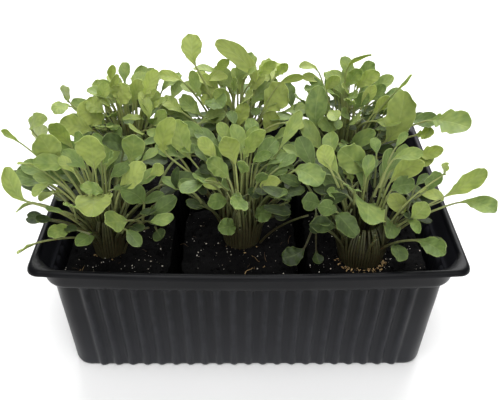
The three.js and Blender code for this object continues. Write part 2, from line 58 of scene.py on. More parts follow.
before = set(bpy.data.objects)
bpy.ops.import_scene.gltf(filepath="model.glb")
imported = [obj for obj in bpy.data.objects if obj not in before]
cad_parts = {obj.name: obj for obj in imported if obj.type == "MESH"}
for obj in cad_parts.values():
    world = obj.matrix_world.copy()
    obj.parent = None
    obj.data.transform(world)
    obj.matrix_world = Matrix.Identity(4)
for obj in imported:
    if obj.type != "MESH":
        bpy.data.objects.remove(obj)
CAD_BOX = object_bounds()
MM = 0.001
TRAY_LOW, TRAY_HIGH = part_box("tray")
BODY = "root"

# Outlines of the tray's outer skin from its foot up to the curled lip: height, inset from the rim's
# edge, corner radius and how fully the ribs stand out. Millimetres.
TRAY_OUTLINES = (
    (0.0, 17.0, 10.6, 0.4),
    (0.35, 16.2, 10.8, 0.6),
    (1.1, 15.7, 10.9, 0.8),
    (2.4, 15.3, 11.0, 0.94),
    (4.4, 15.0, 11.0, 1.0),
    (24.0, 13.9, 11.3, 1.0),
    (44.0, 12.8, 11.6, 1.0),
    (62.0, 11.7, 11.8, 1.0),
    (74.0, 11.1, 11.9, 1.0),
    (78.2, 10.85, 12.0, 1.0),
    (79.2, 10.8, 12.0, 1.0),
    (80.0, 10.75, 12.0, 1.0),
    (80.6, 10.7, 12.0, 1.0),
    (81.0, 10.7, 12.0, 1.0),
    (81.25, 10.6, 12.1, 1.0),
    (81.45, 10.6, 12.1, 1.0),
    (82.0, 10.5, 12.2, 1.0),
    (82.15, 8.0, 13.8, 0.0),
    (82.4, 7.4, 14.3, 0.0),
    (82.9, 6.9, 14.8, 0.0),
    (83.7, 6.4, 15.2, 0.0),
    (84.8, 6.05, 15.6, 0.0),
    (87.0, 5.7, 16.3, 0.0),
    (96.8, 4.1, 20.0, 0.0),
    (98.3, 3.9, 19.8, 0.0),
    (99.2, 3.5, 17.5, 0.0),
    (99.7, 2.9, 13.0, 0.0),
    (99.82, 2.4, 9.6, 0.0),
    (99.7, 1.9, 7.8, 0.0),
    (99.3, 1.5, 7.0, 0.0),
    (98.6, 1.25, 6.6, 0.0),
    (97.5, 1.15, 6.4, 0.0),
)
RIBS_ON_LONG_SIDE = 21
RIBS_ON_SHORT_SIDE = 13
# Inset and corner radius of the outline where the ribs have their full pitch. Below it they close in.
RIBS_TOP_INSET = 10.5
RIBS_TOP_CORNER = 12.2
POINTS_PER_RIB = 12
POINTS_ON_HALF_CORNER = 10
# Half width of the hollow between two ribs and of its flank, as shares of the pitch, and the height
# where the hollows close in a round arch under the collar
HOLLOW_HALF = 0.3
HOLLOW_FLANK = 0.14
HOLLOW_TOP = 81.4
BOW_FRONT = 5.5
BOW_BACK = 2.0
DRAIN_RADIUS = 3.5
DRAIN_SIDES = 24
DRAINS = [(x, y) for x in (-80, 0, 80) for y in (-38, 38)]
# How strong the painted highlight along the rib crests and the wear on the lip are, from 0 to 1, the height
# where the wear on the lip's edge begins and the rise over which it grows, and the height up to which the
# inside is dusty with soil
RIBS_CREST_HIGHLIGHT = 0.7
LIP_WORN = 0.1
LIP_WORN_FROM = 99.0
LIP_WORN_RISE = 1.6
DUSTY_BELOW = 97.0

# Soil blocks, in millimetres: their heights, how far the top falls to its edge, the rings of points down
# their sides, and how wide the foot is as a share of the shoulder
SOIL_TOP = 84.0
SOIL_SHOULDER = 76.0
SOIL_FOOT = 1.5
SOIL_MOUND = 2.6
SOIL_RINGS = (SOIL_SHOULDER + 3, SOIL_SHOULDER, 52, 28, SOIL_FOOT)
SOIL_DRAFT = 0.93
# Bits in the soil: their paler and their browner colour, and how rough the smoothest are
SPECKS = {
    "mineral_grain": ((0.78, 0.75, 0.68), (0.42, 0.36, 0.26), 0.6),
    "plant_fibre": ((0.16, 0.1, 0.05), (0.04, 0.026, 0.016), 0.7),
    "husk": ((0.5, 0.35, 0.16), (0.2, 0.12, 0.05), 0.7),
}
# A strand in the soil, in metres: its radius, and the length and the number of its steps
FIBRE_RADIUS = 0.00013
FIBRE_STEP = 0.0011
FIBRE_STEPS = 6

# Six clumps: the foot of each on the soil, the radius of its packed stems, how wide and how tall it
# spreads, its seed, and its large leaves. A leaf is the start of its blade, its tip and its width, from
# the foot in millimetres, and how far it is rolled off the light, in degrees. "lobed" names the large
# leaves that are toothed, "broad" those with square shoulders and "wavy" those with a waved edge, and a
# further table says how far some are darkened, from 0 to 1, partly by age and partly as painted shade. A
# fork is the node of a seedling beside the bundle, and which large leaves it carries. "husky" is how many
# times more tan bits lie round the foot, and a last number how much less the clump's small leaves are
# darkened, which is painted light on the back rows.
CLUMPS = {
    "front_left": {
        "foot": (-93, -54), "radius": 9.5, "spread": 46, "tall": 84, "seed": 11,
        "leaves": (
            (-39, -30, 62, -46, -27, 84, 10, 25),
            (-28, -10, 61, -33, -28, 64, 7, 20),
            (-35, -20, 54, -41, -39, 61, 5, 60),
            (-25, 4, 44, -31, -24, 58, 8, 20),
            (-17, -15, 31, -27, -35, 40, 9, 0),
            (-34, -40, 39, -38, -58, 46, 5, 55),
            (-5, -13, 25, -13, -30, 29, 9, 0),
            (31, -17, 37, 46, -18, 43, 8, 20),
            (31, -14, 41, 48, -12, 52, 10, 0),
            (17, -13, 35, 7, -31, 47, 14, 0),
            (-3, 5, 41, -2, -28, 49, 21, 0),
            (-3, 2, 64, -2, -5, 92, 17, 0),
            (-24, 1, 67, -30, -6, 93, 16, 0),
            (13, -6, 54, 31, -11, 74, 14, 0),
            (18, 8, 65, 23, 4, 87, 14, 0),
            (31, 2, 59, 40, -3, 69, 8, 0),
            (27, -6, 43, 15, -13, 59, 13, 0),
            (2, -5, 50, -11, -9, 57, 9, 20),
            (-14, -5, 66, -22, -4, 76, 7, 10),
            (-45, -2, 86, -51, -9, 97, 5, 50),
            (-40, 8, 88, -24, -6, 103, 9, 0),
            (-35, -9, 73, -41, -21, 82, 5, 50),
            (-18, 14, 72, -27, 4, 94, 9, 0),
            (14, 15, 69, 5, -3, 86, 11, 0),
        ),
        "forks": (((25, -7, 28), (7, 9, 16)),),
        "broad": (10, 11),
        "darkened_by_age_and_shade": {1: 0.2, 4: 0.3, 6: 0.5, 7: 0.4, 8: 0.75, 9: 0.3, 10: 0.1, 14: 0.3, 16: 0.55, 17: 0.35,
                23: 0.85},
    },
    "front_middle": {
        "foot": (-5, -41), "radius": 12.5, "spread": 44, "tall": 86, "seed": 12,
        "leaves": (
            (-34, 11, 58, -42, 20, 82, 13, 0),
            (-50, 12, 60, -42, 6, 90, 12, 0),
            (-27, 20, 54, -38, 6, 66, 6, 50),
            (-16, 3, 62, -27, 4, 77, 9, 0),
            (-4, 2, 60, -11, -3, 82, 13, 0),
            (1, 5, 60, 14, -7, 89, 9, 10),
            (-8, -3, 51, -22, -7, 67, 11, 0),
            (-11, -3, 44, -24, -11, 52, 8, 10),
            (-9, -10, 38, -21, -22, 45, 10, 0),
            (-4, -13, 21, -15, -24, 27, 11, 0),
            (8, -8, 26, 19, -19, 34, 11, 0),
            (11, -3, 44, 24, -13, 56, 8, 10),
            (0, -8, 26, 3, -15, 33, 6, 0),
            (31, -23, 48, 13, -15, 53, 8, 20),
            (32, -21, 37, 14, -19, 40, 8, 20),
            (40, -31, 16, 26, -33, 10, 12, 0),
            (48, -29, 12, 50, -36, 8, 7, 0),
            (34, -5, 60, 49, -19, 57, 15, 0),
            (37, -12, 52, 24, -14, 60, 7, 0),
            (25, 11, 66, 38, 22, 87, 8, 0),
            (-40, -15, 51, -39, -17, 69, 5, 0),
        ),
        "forks": (((48, -17, 34), (15, 16)), ((-1, -15, 22), (4, 6, 7))),
        "broad": (0, 17), "lobed": (1, 5),
        "darkened_by_age_and_shade": {2: 0.5, 4: 0, 6: 0.35, 8: 0.45, 9: 0.55, 10: 0.7, 11: 0, 12: 0.8, 13: 0.9, 14: 1, 15: 1,
                16: 1, 17: 0.4, 18: 0.85, 19: 0.25, 20: 1},
    },
    "front_right": {
        "foot": (74, -59), "radius": 15, "spread": 48, "tall": 82, "seed": 13, "husky": 12,
        "leaves": (
            (15, 8, 54, 29, -9, 79, 12, 0),
            (50, 4, 42, 36, 12, 44, 8, 10),
            (49, -2, 50, 66, -11, 76, 11, 0),
            (56, -8, 50, 64, -42, 67, 12, 0),
            (41, -13, 73, 36, -20, 85, 6, 20),
            (38, 4, 50, 39, 0, 67, 11, 0),
            (3, 14, 32, -2, -19, 41, 22, 0),
            (-20, -12, 44, -8, -21, 33, 12, 0),
            (27, 8, 28, 12, 1, 47, 11, 0),
            (27, -10, 38, 34, -12, 52, 11, 0),
            (18, 6, 24, 11, -21, 32, 12, 0),
            (25, -9, 36, 28, -28, 41, 6, 20),
            (18, -12, 20, 16, -35, 25, 11, 0),
            (28, -26, 34, 37, -52, 44, 11, 0),
            (-24, 7, 64, -29, 11, 79, 11, 0),
            (2, 24, 46, -17, 22, 69, 17, 0),
            (-21, -17, 37, -38, -28, 48, 10, 0),
            (-31, -14, 52, -43, -20, 59, 11, 0),
            (-20, -12, 45, -33, -17, 53, 10, 0),
            (-6, 24, 42, -11, 31, 56, 8, 10),
            (-29, -6, 46, -16, -13, 58, 7, 0),
            (14, -1, 54, 27, -5, 61, 11, 0),
        ),
        "broad": (6, 15), "lobed": (4, 19),
        "darkened_by_age_and_shade": {0: 0, 2: 0.1, 3: 0.35, 5: 0.45, 6: 0.35, 7: 0.8, 8: 0, 9: 0.25, 10: 0.7, 11: 0.4, 12: 0.75,
                13: 0.6, 15: 0.3, 16: 0.95, 17: 0.75, 18: 0.6, 19: 0.3, 20: 1, 21: 0.6},
    },
    "back_left": {
        "foot": (-86, 36), "radius": 11, "spread": 46, "tall": 88, "seed": 14, "less_aged_and_shaded": 0.28,
        "leaves": (
            (-44, 2, 62, -38, -14, 82, 10, 0),
            (-46, 13, 54, -52, -11, 60, 10, 0),
            (-10, -5, 83, -7, -9, 97, 6, 20),
            (-9, -10, 75, -4, -13, 92, 6, 30),
            (-17, -11, 70, -12, -10, 84, 9, 0),
            (-5, -10, 66, 3, -14, 84, 13, 0),
            (14, -18, 78, 24, -17, 97, 10, 0),
            (17, -23, 62, 11, -15, 80, 8, 20),
            (12, -15, 58, -1, -26, 64, 7, 30),
            (-17, -11, 53, -34, -17, 68, 17, 0),
            (19, -23, 58, 29, -26, 71, 8, 20),
            (-66, -12, 36, -50, -38, 64, 14, 0),
            (-24, -23, 54, -43, -34, 65, 14, 0),
            (-16, -15, 64, -27, -15, 73, 11, 0),
        ),
        "broad": (9,), "lobed": (6, 8),
        "darkened_by_age_and_shade": {1: 0.2, 2: 0, 3: 0, 5: 0, 6: 0, 8: 0.2, 9: 0, 10: 0.3},
    },
    "back_middle": {
        "foot": (-8, 38), "radius": 12.5, "spread": 44, "tall": 98, "seed": 15, "less_aged_and_shaded": 0.28,
        "leaves": (
            (-30, -8, 97, -30, 0, 115, 14, 0),
            (15, 7, 71, -15, -17, 116, 13.5, 10),
            (-14, 4, 83, -6, -2, 97, 7, 30),
            (-39, 0, 80, -55, -6, 87, 9, 15),
            (-26, -5, 68, -32, 2, 87, 8, 20),
            (-22, 12, 73, -7, -8, 86, 8, 10),
            (-18, -1, 66, -10, -26, 72, 15, 0),
            (-40, -6, 58, -54, 6, 64, 10, 0),
            (-27, -1, 53, -42, 12, 61, 11, 0),
            (1, -15, 52, 6, -16, 71, 10, 0),
            (15, 4, 80, 27, -1, 95, 8, 10),
            (27, 11, 78, 36, 6, 90, 7, 20),
            (20, -2, 56, 35, -6, 79, 19, 0),
            (29, -2, 78, 46, -14, 90, 6, 50),
            (20, -5, 40, 27, -8, 60, 13, 0),
            (-43, -31, 37, -47, -34, 68, 14, 0),
        ),
        "wavy": (1, 6), "lobed": (4, 10, 11), "broad": (12,),
        "darkened_by_age_and_shade": {0: 0, 1: 0, 2: 0, 4: 0.3, 6: 0.5, 8: 0.3, 9: 0, 14: 0},
    },
    "back_right": {
        "foot": (72, 36), "radius": 13, "spread": 46, "tall": 90, "seed": 16, "less_aged_and_shaded": 0.15,
        "leaves": (
            (-22, 7, 86, -37, -8, 95, 7, 20),
            (-18, 7, 75, -35, -5, 86, 7, 20),
            (-23, -18, 52, -22, -8, 81, 15, 0),
            (-3, 4, 88, 10, -15, 108, 4, 60),
            (-2, 0, 76, 6, -6, 93, 9, 0),
            (5, 0, 75, 19, -9, 91, 10, 0),
            (-16, 3, 72, -8, -6, 86, 8, 10),
            (8, -9, 64, 16, -11, 83, 8, 20),
            (27, -22, 44, 33, -25, 87, 19, 0),
            (29, -19, 82, 37, -22, 97, 4, 60),
            (53, -27, 65, 73, -52, 73, 18, 0),
            (49, -14, 45, 58, -27, 54, 9, 10),
            (45, -32, 39, 61, -45, 52, 9, 10),
            (43, -31, 32, 57, -41, 42, 8, 10),
            (0, -25, 42, 15, -36, 60, 11, 0),
            (17, -11, 61, 26, -16, 77, 8, 20),
            (-20, -31, 43, -34, -20, 61, 11, 0),
        ),
        "broad": (8,), "lobed": (10, 11, 12),
        "darkened_by_age_and_shade": {2: 0.4, 4: 0.3, 7: 0, 8: 0.15, 10: 0.3, 12: 0, 13: 0, 14: 0.4, 15: 0, 16: 0.3},
    },
}

LARGE_KINDS = ("large", "lobed", "broad", "wavy")
# The way that the large leaves face, and how much wider they are than their row says
LIGHT = np.array((0, -0.72, 0.69))
LARGE_WIDER = 1.04

# The smaller leaves: how far they reach into the clump's spread, as a share, their length and how much
# longer one may be, in millimetres, and their width and how much wider one may be, as shares of the length
TRUE_LEAF = {"reach": 0.82, "length": 14, "longer": 8, "width": 0.5, "wider": 0.12}
SEED_LEAF = {"reach": 0.72, "length": 9, "longer": 3, "width": 0.85, "wider": 0}
SMALL_LEAVES = 42
SEED_SHARE = 0.3
GOLDEN_ANGLE = math.pi * (3 - math.sqrt(5))
# A seedling's leaves: the least and the most of the pitch and the length of the stalk, and the length of
# the blade
SEEDLING_LEAVES = {
    "seed": ((0.05, 0.6), (4, 9), (8.5, 11.5)),
    "small": ((0.5, 1.3), (10, 26), (11, 24)),
}
# How high over the soil the small leaves spring from, in millimetres
CROWN = 20

# The camera: its place in millimetres, its lens, and how far it looks down, its yaw and its roll
EYE = np.array((-5.91, -417.45, 386.73))
LENS = 50.57
SENSOR = 36.0
CAMERA_TURNS = (35.69, 0.99, 0.63)
# How near the line from the camera to a large leaf a small one may come, as a share of their widths, and
# the height and the width in radii of a clump's foot that is kept clear in the same way
CLEAR_SHARE = 0.8
CLEAR_FOOT_HEIGHT = 16
CLEAR_FOOT_WIDTH = 1.6
# A stem meets a large leaf where it comes within a share of the leaf's width of one of these places along
# its blade, as looked at in a number of points along the stem
STEM_CHECKS = 9
BLADE_CHECKS = (0.5, 0.8)
MEETS_WITHIN = 0.4
# A stem that would meet one leans inwards: how far from the clump's middle it ends, as a share of where it
# leaves the bundle, and how far above that, in millimetres
LEANS_TO = 0.5
LEANS_UP = 17
# Lights: the place and the size of each and where it points, in metres
SOFTBOXES = {
    "key": ((-0.15, -0.7, 1.8), (1.4, 1.0), (0, 0, 0.09)),
    "front": ((0.15, -1.5, 1.0), (1.8, 1.0), (0, 0, 0.12)),
    "back": ((0.1, 0.9, 1.0), (1.4, 0.8), (0, 0, 0.12)),
}

# Blades modelled once, in millimetres: length and width, cells across and along, how fast it widens,
# the dent at its tip, how blunt its tip is, the height and number of the waves of its edge, and its
# lobes. A lobe is its place along the blade, the side it is on, how far it stands out and how long it is.
BLADES = {
    "plain": {
        "length": 24, "width": 13, "cells": (8, 14), "round": 1.55, "notch": 0.0, "blunt": 0.36,
        "wave": (0.45, 2.2),
        "lobes": ((0.3, -1, 0.05, 0.07), (0.42, 1, 0.06, 0.08), (0.8, -1, 0.04, 0.06)),
    },
    "wavy": {
        "length": 26, "width": 14, "cells": (8, 16), "round": 1.4, "notch": 0.015, "blunt": 0.4,
        "wave": (0.75, 3.1),
        "lobes": (
            (0.25, 1, 0.09, 0.05), (0.4, -1, 0.1, 0.06), (0.55, 1, 0.07, 0.05), (0.72, -1, 0.05, 0.05),
        ),
    },
    "lobed": {
        "length": 28, "width": 15, "cells": (8, 22), "round": 1.9, "notch": 0.0, "blunt": 0.42,
        "wave": (0.6, 2.7),
        "lobes": (
            (0.2, -1, 0.26, 0.045), (0.24, 1, 0.3, 0.045), (0.42, -1, 0.16, 0.05), (0.5, 1, 0.17, 0.05),
            (0.78, -1, 0.06, 0.05),
        ),
    },
    "broad": {
        "length": 28, "width": 16, "cells": (8, 22), "round": 1.15, "notch": 0.02, "blunt": 0.62,
        "wave": (0.75, 2.4),
        "lobes": (
            (0.34, 1, 0.12, 0.05), (0.46, -1, 0.1, 0.06), (0.66, 1, 0.05, 0.05), (0.86, 1, 0.16, 0.06),
            (0.82, -1, 0.1, 0.06),
        ),
    },
    "small": {
        "length": 18, "width": 10, "cells": (6, 10), "round": 1.75, "notch": 0.0, "blunt": 0.36,
        "wave": (0.4, 1.8),
        "lobes": ((0.45, 1, 0.06, 0.08),),
    },
    "seed": {
        "length": 10.5, "width": 9, "cells": (6, 7), "round": 0.75, "notch": 0.09, "blunt": 0.36,
        "wave": (0.12, 1.0),
        "lobes": (),
    },
}
BLADE_THICKNESS = 0.38
# Where a blade is widest along its length, and how wide it is at its start, as shares
BLADE_WIDEST = 0.62
BLADE_NECK = 0.1
# Stalks and stems: their length before they are bent, and their radius at the foot and at the top
STALK_SIDES = 6
STALK_LENGTH = 30.0
STALK_RADII = (0.92, 0.62)
STALK_RINGS = {"plain": 16, "wavy": 16, "lobed": 16, "broad": 16, "small": 12, "seed": 8}
STEM_RINGS = 10
# The rib under a blade: its radius at both ends, how far along the blade it goes and how deep it is sunk
RIB_RADII = (0.55, 0.12)
RIB_RINGS = 5
RIB_ALONG_BLADE = 0.88
RIB_SUNK = 0.66
# Points along the line of a stalk, of the part that is packed in the bundle, and of a blade
STALK_POINTS = 16
SEAT_POINTS = 6
BLADE_POINTS = 15
# Packed stems: how far apart they stand round the bundle and how deep in the soil, in millimetres, and
# how far out they stand there and where they leave the bundle, as shares of its radius
STEM_SPACING = 1.75
STEM_DEPTH = 5.0
STEM_FOOT = 0.88
STEM_FLARE = 1.16
# The core of the bundle: its radius as a share, its sides, and the rings of its dome, each with how far
# it rises, in millimetres, and how far it draws in
CORE_SHARE = 0.74
CORE_SIDES = 20
CORE_RINGS = ((8, 1.0), (4, 1.0), (1.5, 0.8), (0.5, 0.4))


def draws(seed):
    """A repeatable stream of numbers from 0 to 1."""
    whole = 0xFFFFFFFF
    state = seed

    def draw():
        nonlocal state
        state = (state + 0x6D2B79F5) & whole
        t = ((state ^ (state >> 15)) * (1 | state)) & whole
        t = ((t + (((t ^ (t >> 7)) * (61 | t)) & whole)) & whole) ^ t
        return ((t ^ (t >> 14)) & whole) / 4294967296

    return draw


def mix(low, high, share):
    return low + (high - low) * share


def smooth(low, high, value):
    """0 below low, 1 above high, and a smooth step between."""
    t = min(1.0, max(0.0, (value - low) / (high - low)))
    return t * t * (3 - 2 * t)


# Working with objects


def deselect():
    if bpy.context.object and bpy.context.object.mode != "OBJECT":
        bpy.ops.object.mode_set(mode="OBJECT")
    bpy.ops.object.select_all(action="DESELECT")


def pick(obj):
    """Makes an object the only one that an operator acts on."""
    deselect()
    obj.select_set(True)
    bpy.context.view_layer.objects.active = obj


def named(name):
    """Names the object that was added last, and its mesh."""
    made = bpy.context.object
    made.name = name
    made.data.name = name
    return made


def edit_all():
    """Starts edit mode with all of the mesh selected."""
    bpy.ops.object.mode_set(mode="EDIT")
    bpy.ops.mesh.select_all(action="SELECT")


def close_edit():
    """Turns all faces outwards and ends edit mode."""
    bpy.ops.mesh.select_all(action="SELECT")
    bpy.ops.mesh.normals_make_consistent(inside=False)
    bpy.ops.object.mode_set(mode="OBJECT")


def shade_smooth(degrees):
    bpy.ops.object.shade_smooth_by_angle(angle=math.radians(degrees))


def apply_modifier(obj, kind, **settings):
    pick(obj)
    modifier = obj.modifiers.new(kind.title(), kind)
    for key, value in settings.items():
        setattr(modifier, key, value)
    bpy.ops.object.modifier_apply(modifier=modifier.name)


def join(pieces, name):
    """Joins objects into one."""
    deselect()
    for piece in pieces:
        piece.select_set(True)
    bpy.context.view_layer.objects.active = pieces[0]
    bpy.ops.object.join()
    return named(name)


def own_copy(template, name):
    """A copy of an object with a mesh of its own."""
    copy = template.copy()
    copy.data = template.data.copy()
    copy.name = name
    bpy.context.scene.collection.objects.link(copy)
    return copy


def discard(*objects):
    for obj in objects:
        bpy.data.objects.remove(obj)


def coordinates(mesh):
    found = np.empty(len(mesh.vertices) * 3)
    mesh.vertices.foreach_get("co", found)
    return found.reshape(-1, 3)


def put_coordinates(mesh, places):
    mesh.vertices.foreach_set("co", np.asarray(places, dtype=float).ravel())
    mesh.update()


def fill_attribute(mesh, name, values):
    """Writes a number for each vertex, or the same number for all of them."""
    layer = mesh.attributes.get(name) or mesh.attributes.new(name, "FLOAT", "POINT")
    numbers = np.broadcast_to(np.asarray(values, dtype=np.float32), len(mesh.vertices))
    layer.data.foreach_set("value", np.ascontiguousarray(numbers))


def read_attribute(mesh, name):
    found = np.empty(len(mesh.vertices), dtype=np.float32)
    mesh.attributes[name].data.foreach_get("value", found)
    return found


def give(piece, materials, index):
    """Gives a piece its materials, with all its faces in one of them."""
    for material in materials:
        piece.data.materials.append(material)
    piece.data.polygons.foreach_set("material_index", [index] * len(piece.data.polygons))


def dress(piece, node):
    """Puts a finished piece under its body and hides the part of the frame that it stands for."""
    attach(piece, BODY)
    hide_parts(node)


# Node groups and materials


def add_node(tree, kind, links=(), **settings):
    """Adds a node, sets its properties and joins sockets to its inputs."""
    made = tree.nodes.new(kind)
    for key, value in settings.items():
        setattr(made, key, value)
    for into, source in dict(links).items():
        if isinstance(source, bpy.types.NodeSocket):
            tree.links.new(source, made.inputs[into])
        else:
            made.inputs[into].default_value = source
    return made


def math_node(tree, operation, *values, clamp=False):
    links = list(enumerate(values))
    return add_node(tree, "ShaderNodeMath", links, operation=operation, use_clamp=clamp).outputs[0]


def times(tree, first, second):
    return math_node(tree, "MULTIPLY", first, second)


def from_middle(tree, share):
    """How far a value from 0 to 1 is from one half."""
    return math_node(tree, "ABSOLUTE", math_node(tree, "SUBTRACT", share, 0.5))


def rgba(colour, share=1.0):
    """A colour as a shader takes it, darkened to a share of itself."""
    return (*(c * share for c in colour), 1.0)


def mix_colour(tree, share, first, second):
    links = {0: share, 6: first, 7: second}
    return add_node(tree, "ShaderNodeMix", links, data_type="RGBA").outputs[2]


def mesh_value(tree, name):
    """The number that the mesh holds for each vertex under a name."""
    return add_node(tree, "ShaderNodeAttribute", attribute_name=name).outputs["Fac"]


def object_height(tree):
    place = add_node(tree, "ShaderNodeTexCoord").outputs["Object"]
    return add_node(tree, "ShaderNodeSeparateXYZ", {0: place}).outputs[2]


def map_range(tree, value, low, high, to_low=0.0, to_high=1.0, interpolation="SMOOTHSTEP"):
    links = {0: value, 1: low, 2: high, 3: to_low, 4: to_high}
    return add_node(tree, "ShaderNodeMapRange", links, interpolation_type=interpolation).outputs[0]


def new_group(name, inputs, outputs):
    """A shader node group with number inputs and their defaults, and number outputs."""
    group = bpy.data.node_groups.new(name, "ShaderNodeTree")
    for label, default in inputs:
        socket = group.interface.new_socket(label, in_out="INPUT", socket_type="NodeSocketFloat")
        socket.default_value = default
    for label in outputs:
        group.interface.new_socket(label, in_out="OUTPUT", socket_type="NodeSocketFloat")
    return group, group.nodes.new("NodeGroupInput").outputs, group.nodes.new("NodeGroupOutput").inputs


def mottle_group():
    """Soft blotches in the object's own space, between a low and a high value."""
    group, given, out = new_group(
        "Mottle", (("Scale", 60.0), ("Detail", 3.0), ("Low", 0.0), ("High", 1.0)), ("Value",)
    )
    place = add_node(group, "ShaderNodeTexCoord").outputs["Object"]
    links = {"Vector": place, "Scale": given["Scale"], "Detail": given["Detail"]}
    blotches = add_node(group, "ShaderNodeTexNoise", links).outputs[0]
    value = map_range(group, blotches, 0.3, 0.7, given["Low"], given["High"])
    group.links.new(value, out["Value"])
    return group


def grain_group():
    """A fine grain for bump: rounded cells with noise over them."""
    group, given, out = new_group("Grain", (("Scale", 900.0), ("Cells", 0.5)), ("Height",))
    place = add_node(group, "ShaderNodeTexCoord").outputs["Object"]
    fine = add_node(
        group, "ShaderNodeTexNoise", {"Vector": place, "Scale": given["Scale"], "Detail": 4.0}
    ).outputs[0]
    cells = add_node(
        group, "ShaderNodeTexVoronoi", {"Vector": place, "Scale": given["Scale"]}
    ).outputs["Distance"]
    low = math_node(group, "SUBTRACT", 1.0, cells)
    height = add_node(group, "ShaderNodeMix", {0: given["Cells"], 2: fine, 3: low}).outputs[0]
    group.links.new(height, out["Height"])
    return group


def place_group(tree, name, **values):
    """Places a node group in a material with its own values."""
    made = tree.nodes.new("ShaderNodeGroup")
    made.node_tree = bpy.data.node_groups[name]
    for key, value in values.items():
        made.inputs[key].default_value = value
    return made.outputs[0]


def mottle(tree, scale, detail, low=0.0, high=1.0):
    return place_group(tree, "Mottle", Scale=scale, Detail=detail, Low=low, High=high)


def fine_grain(tree, scale, cells):
    return place_group(tree, "Grain", Scale=scale, Cells=cells)


def new_material(name, **constants):
    """A material with one Principled shader, and the values that are the same all over it."""
    material = bpy.data.materials.new(name)
    material.use_nodes = True
    shader = material.node_tree.nodes["Principled BSDF"]
    for key, value in constants.items():
        shader.inputs[key.replace("_", " ")].default_value = value
    return material, material.node_tree, shader


def add_bump(tree, shader, height, strength, distance):
    links = {"Height": height, "Strength": strength, "Distance": distance}
    bump = add_node(tree, "ShaderNodeBump", links)
    tree.links.new(bump.outputs["Normal"], shader.inputs["Normal"])


def plastic_material(look):
    """Satin black plastic: faint blotches and a fine grain, paler along the lip's top edge from use, with a
    painted highlight along the rib crests and a painted floor reflection that grows paler towards the foot,
    and dull with soil inside."""
    material, tree, shader = new_material("tray_plastic")
    # Wear on the lip's top edge, and a painted highlight along the rib crests, kept on the mesh
    worn = mesh_value(tree, "worn")
    inside = mesh_value(tree, "inside")
    # Painted reflection of the bright floor: the plastic is painted paler towards its foot
    lower = map_range(tree, object_height(tree), 0.085, 0.0, interpolation="LINEAR")
    rub_and_painted_light = times(tree, math_node(tree, "POWER", lower, 1.5), 0.9)
    blotched_wear_and_highlight = times(tree, worn, mottle(tree, 140.0, 6.0, 0.25, 0.9))
    rubbed_and_highlit = math_node(tree, "MAXIMUM", blotched_wear_and_highlight, mottle(tree, 22.0, 4.0, 0.0, 0.12))
    share = math_node(tree, "ADD", rubbed_and_highlit, rub_and_painted_light, clamp=True)
    outside = mix_colour(tree, share, rgba(look.plastic), rgba(look.rub_and_painted_light))
    tree.links.new(mix_colour(tree, inside, outside, rgba(look.dusty)), shader.inputs["Base Color"])
    dull = math_node(tree, "MAXIMUM", times(tree, blotched_wear_and_highlight, 0.06), times(tree, inside, 0.5))
    rough = math_node(tree, "ADD", mottle(tree, 35.0, 5.0, 0.3, 0.42), dull)
    tree.links.new(rough, shader.inputs["Roughness"])
    shine = map_range(tree, inside, 0.0, 1.0, 0.13, 0.03)
    tree.links.new(shine, shader.inputs["Specular IOR Level"])
    add_bump(tree, shader, fine_grain(tree, 1400.0, 0.3), 0.12, 0.0002)
    return material


def peat_material(colour):
    """Damp dark peat with browner blotches, and painted shade in its hollows and down its shoulders."""
    material, tree, shader = new_material("damp_peat", Specular_IOR_Level=0.08)
    brown = (colour[0] * 2.0, colour[1] * 1.9, colour[2] * 1.7, 1.0)
    # Painted shade: the peat is painted darker where it lies low, in hollows and down the shoulders
    clear_of_painted_shade = map_range(tree, object_height(tree), (SOIL_TOP - SOIL_MOUND) * MM, (SOIL_TOP + 0.4) * MM)
    peat = mix_colour(tree, mottle(tree, 240.0, 8.0, 0.0, 0.8), rgba(colour), brown)
    tree.links.new(mix_colour(tree, clear_of_painted_shade, rgba(colour, 0.4), peat), shader.inputs["Base Color"])
    tree.links.new(mottle(tree, 90.0, 4.0, 0.72, 1.0), shader.inputs["Roughness"])
    add_bump(tree, shader, fine_grain(tree, 1100.0, 0.7), 0.8, 0.0006)
    return material


def speck_material(name, pale, brown, roughness):
    """Bits in the soil: mineral grains, husks or fibres, no two quite alike in colour."""
    material, tree, shader = new_material(name, Specular_IOR_Level=0.3)
    coloured = mix_colour(tree, mottle(tree, 500.0, 3.0), rgba(pale), rgba(brown))
    tree.links.new(coloured, shader.inputs["Base Color"])
    tree.links.new(mottle(tree, 800.0, 3.0, roughness), shader.inputs["Roughness"])
    add_bump(tree, shader, fine_grain(tree, 2500.0, 0.5), 0.5, 0.0002)
    return material


def leaf_veins(tree):
    """Masks on the blade's own map: the distance from the midrib, the veins, and the fields between."""
    place = add_node(tree, "ShaderNodeUVMap", uv_map="UVMap").outputs[0]
    warp = add_node(tree, "ShaderNodeTexNoise", {"Vector": place, "Scale": 5.0, "Detail": 2.0})
    links = {0: 0.06, 4: place, 5: warp.outputs["Color"]}
    bent = add_node(tree, "ShaderNodeMix", links, data_type="VECTOR").outputs[1]
    bent_axes = add_node(tree, "ShaderNodeSeparateXYZ", {0: bent}).outputs
    axes = add_node(tree, "ShaderNodeSeparateXYZ", {0: place}).outputs
    across = times(tree, from_middle(tree, axes[0]), 2.0)
    bent_across = times(tree, from_middle(tree, bent_axes[0]), 2.0)
    slant = math_node(tree, "SUBTRACT", times(tree, bent_axes[1], 6.0), times(tree, bent_across, 1.9))
    in_step = from_middle(tree, math_node(tree, "FRACT", slant))
    midrib = map_range(tree, across, 0.015, 0.08, 1.0, 0.0)
    side_vein = map_range(tree, in_step, 0.0, 0.085, 1.0, 0.0)
    fading = map_range(tree, across, 0.35, 0.95, 1.0, 0.0)
    faint = times(tree, side_vein, times(tree, fading, 0.34))
    return across, math_node(tree, "MAXIMUM", midrib, faint), map_range(tree, in_step, 0.1, 0.5)


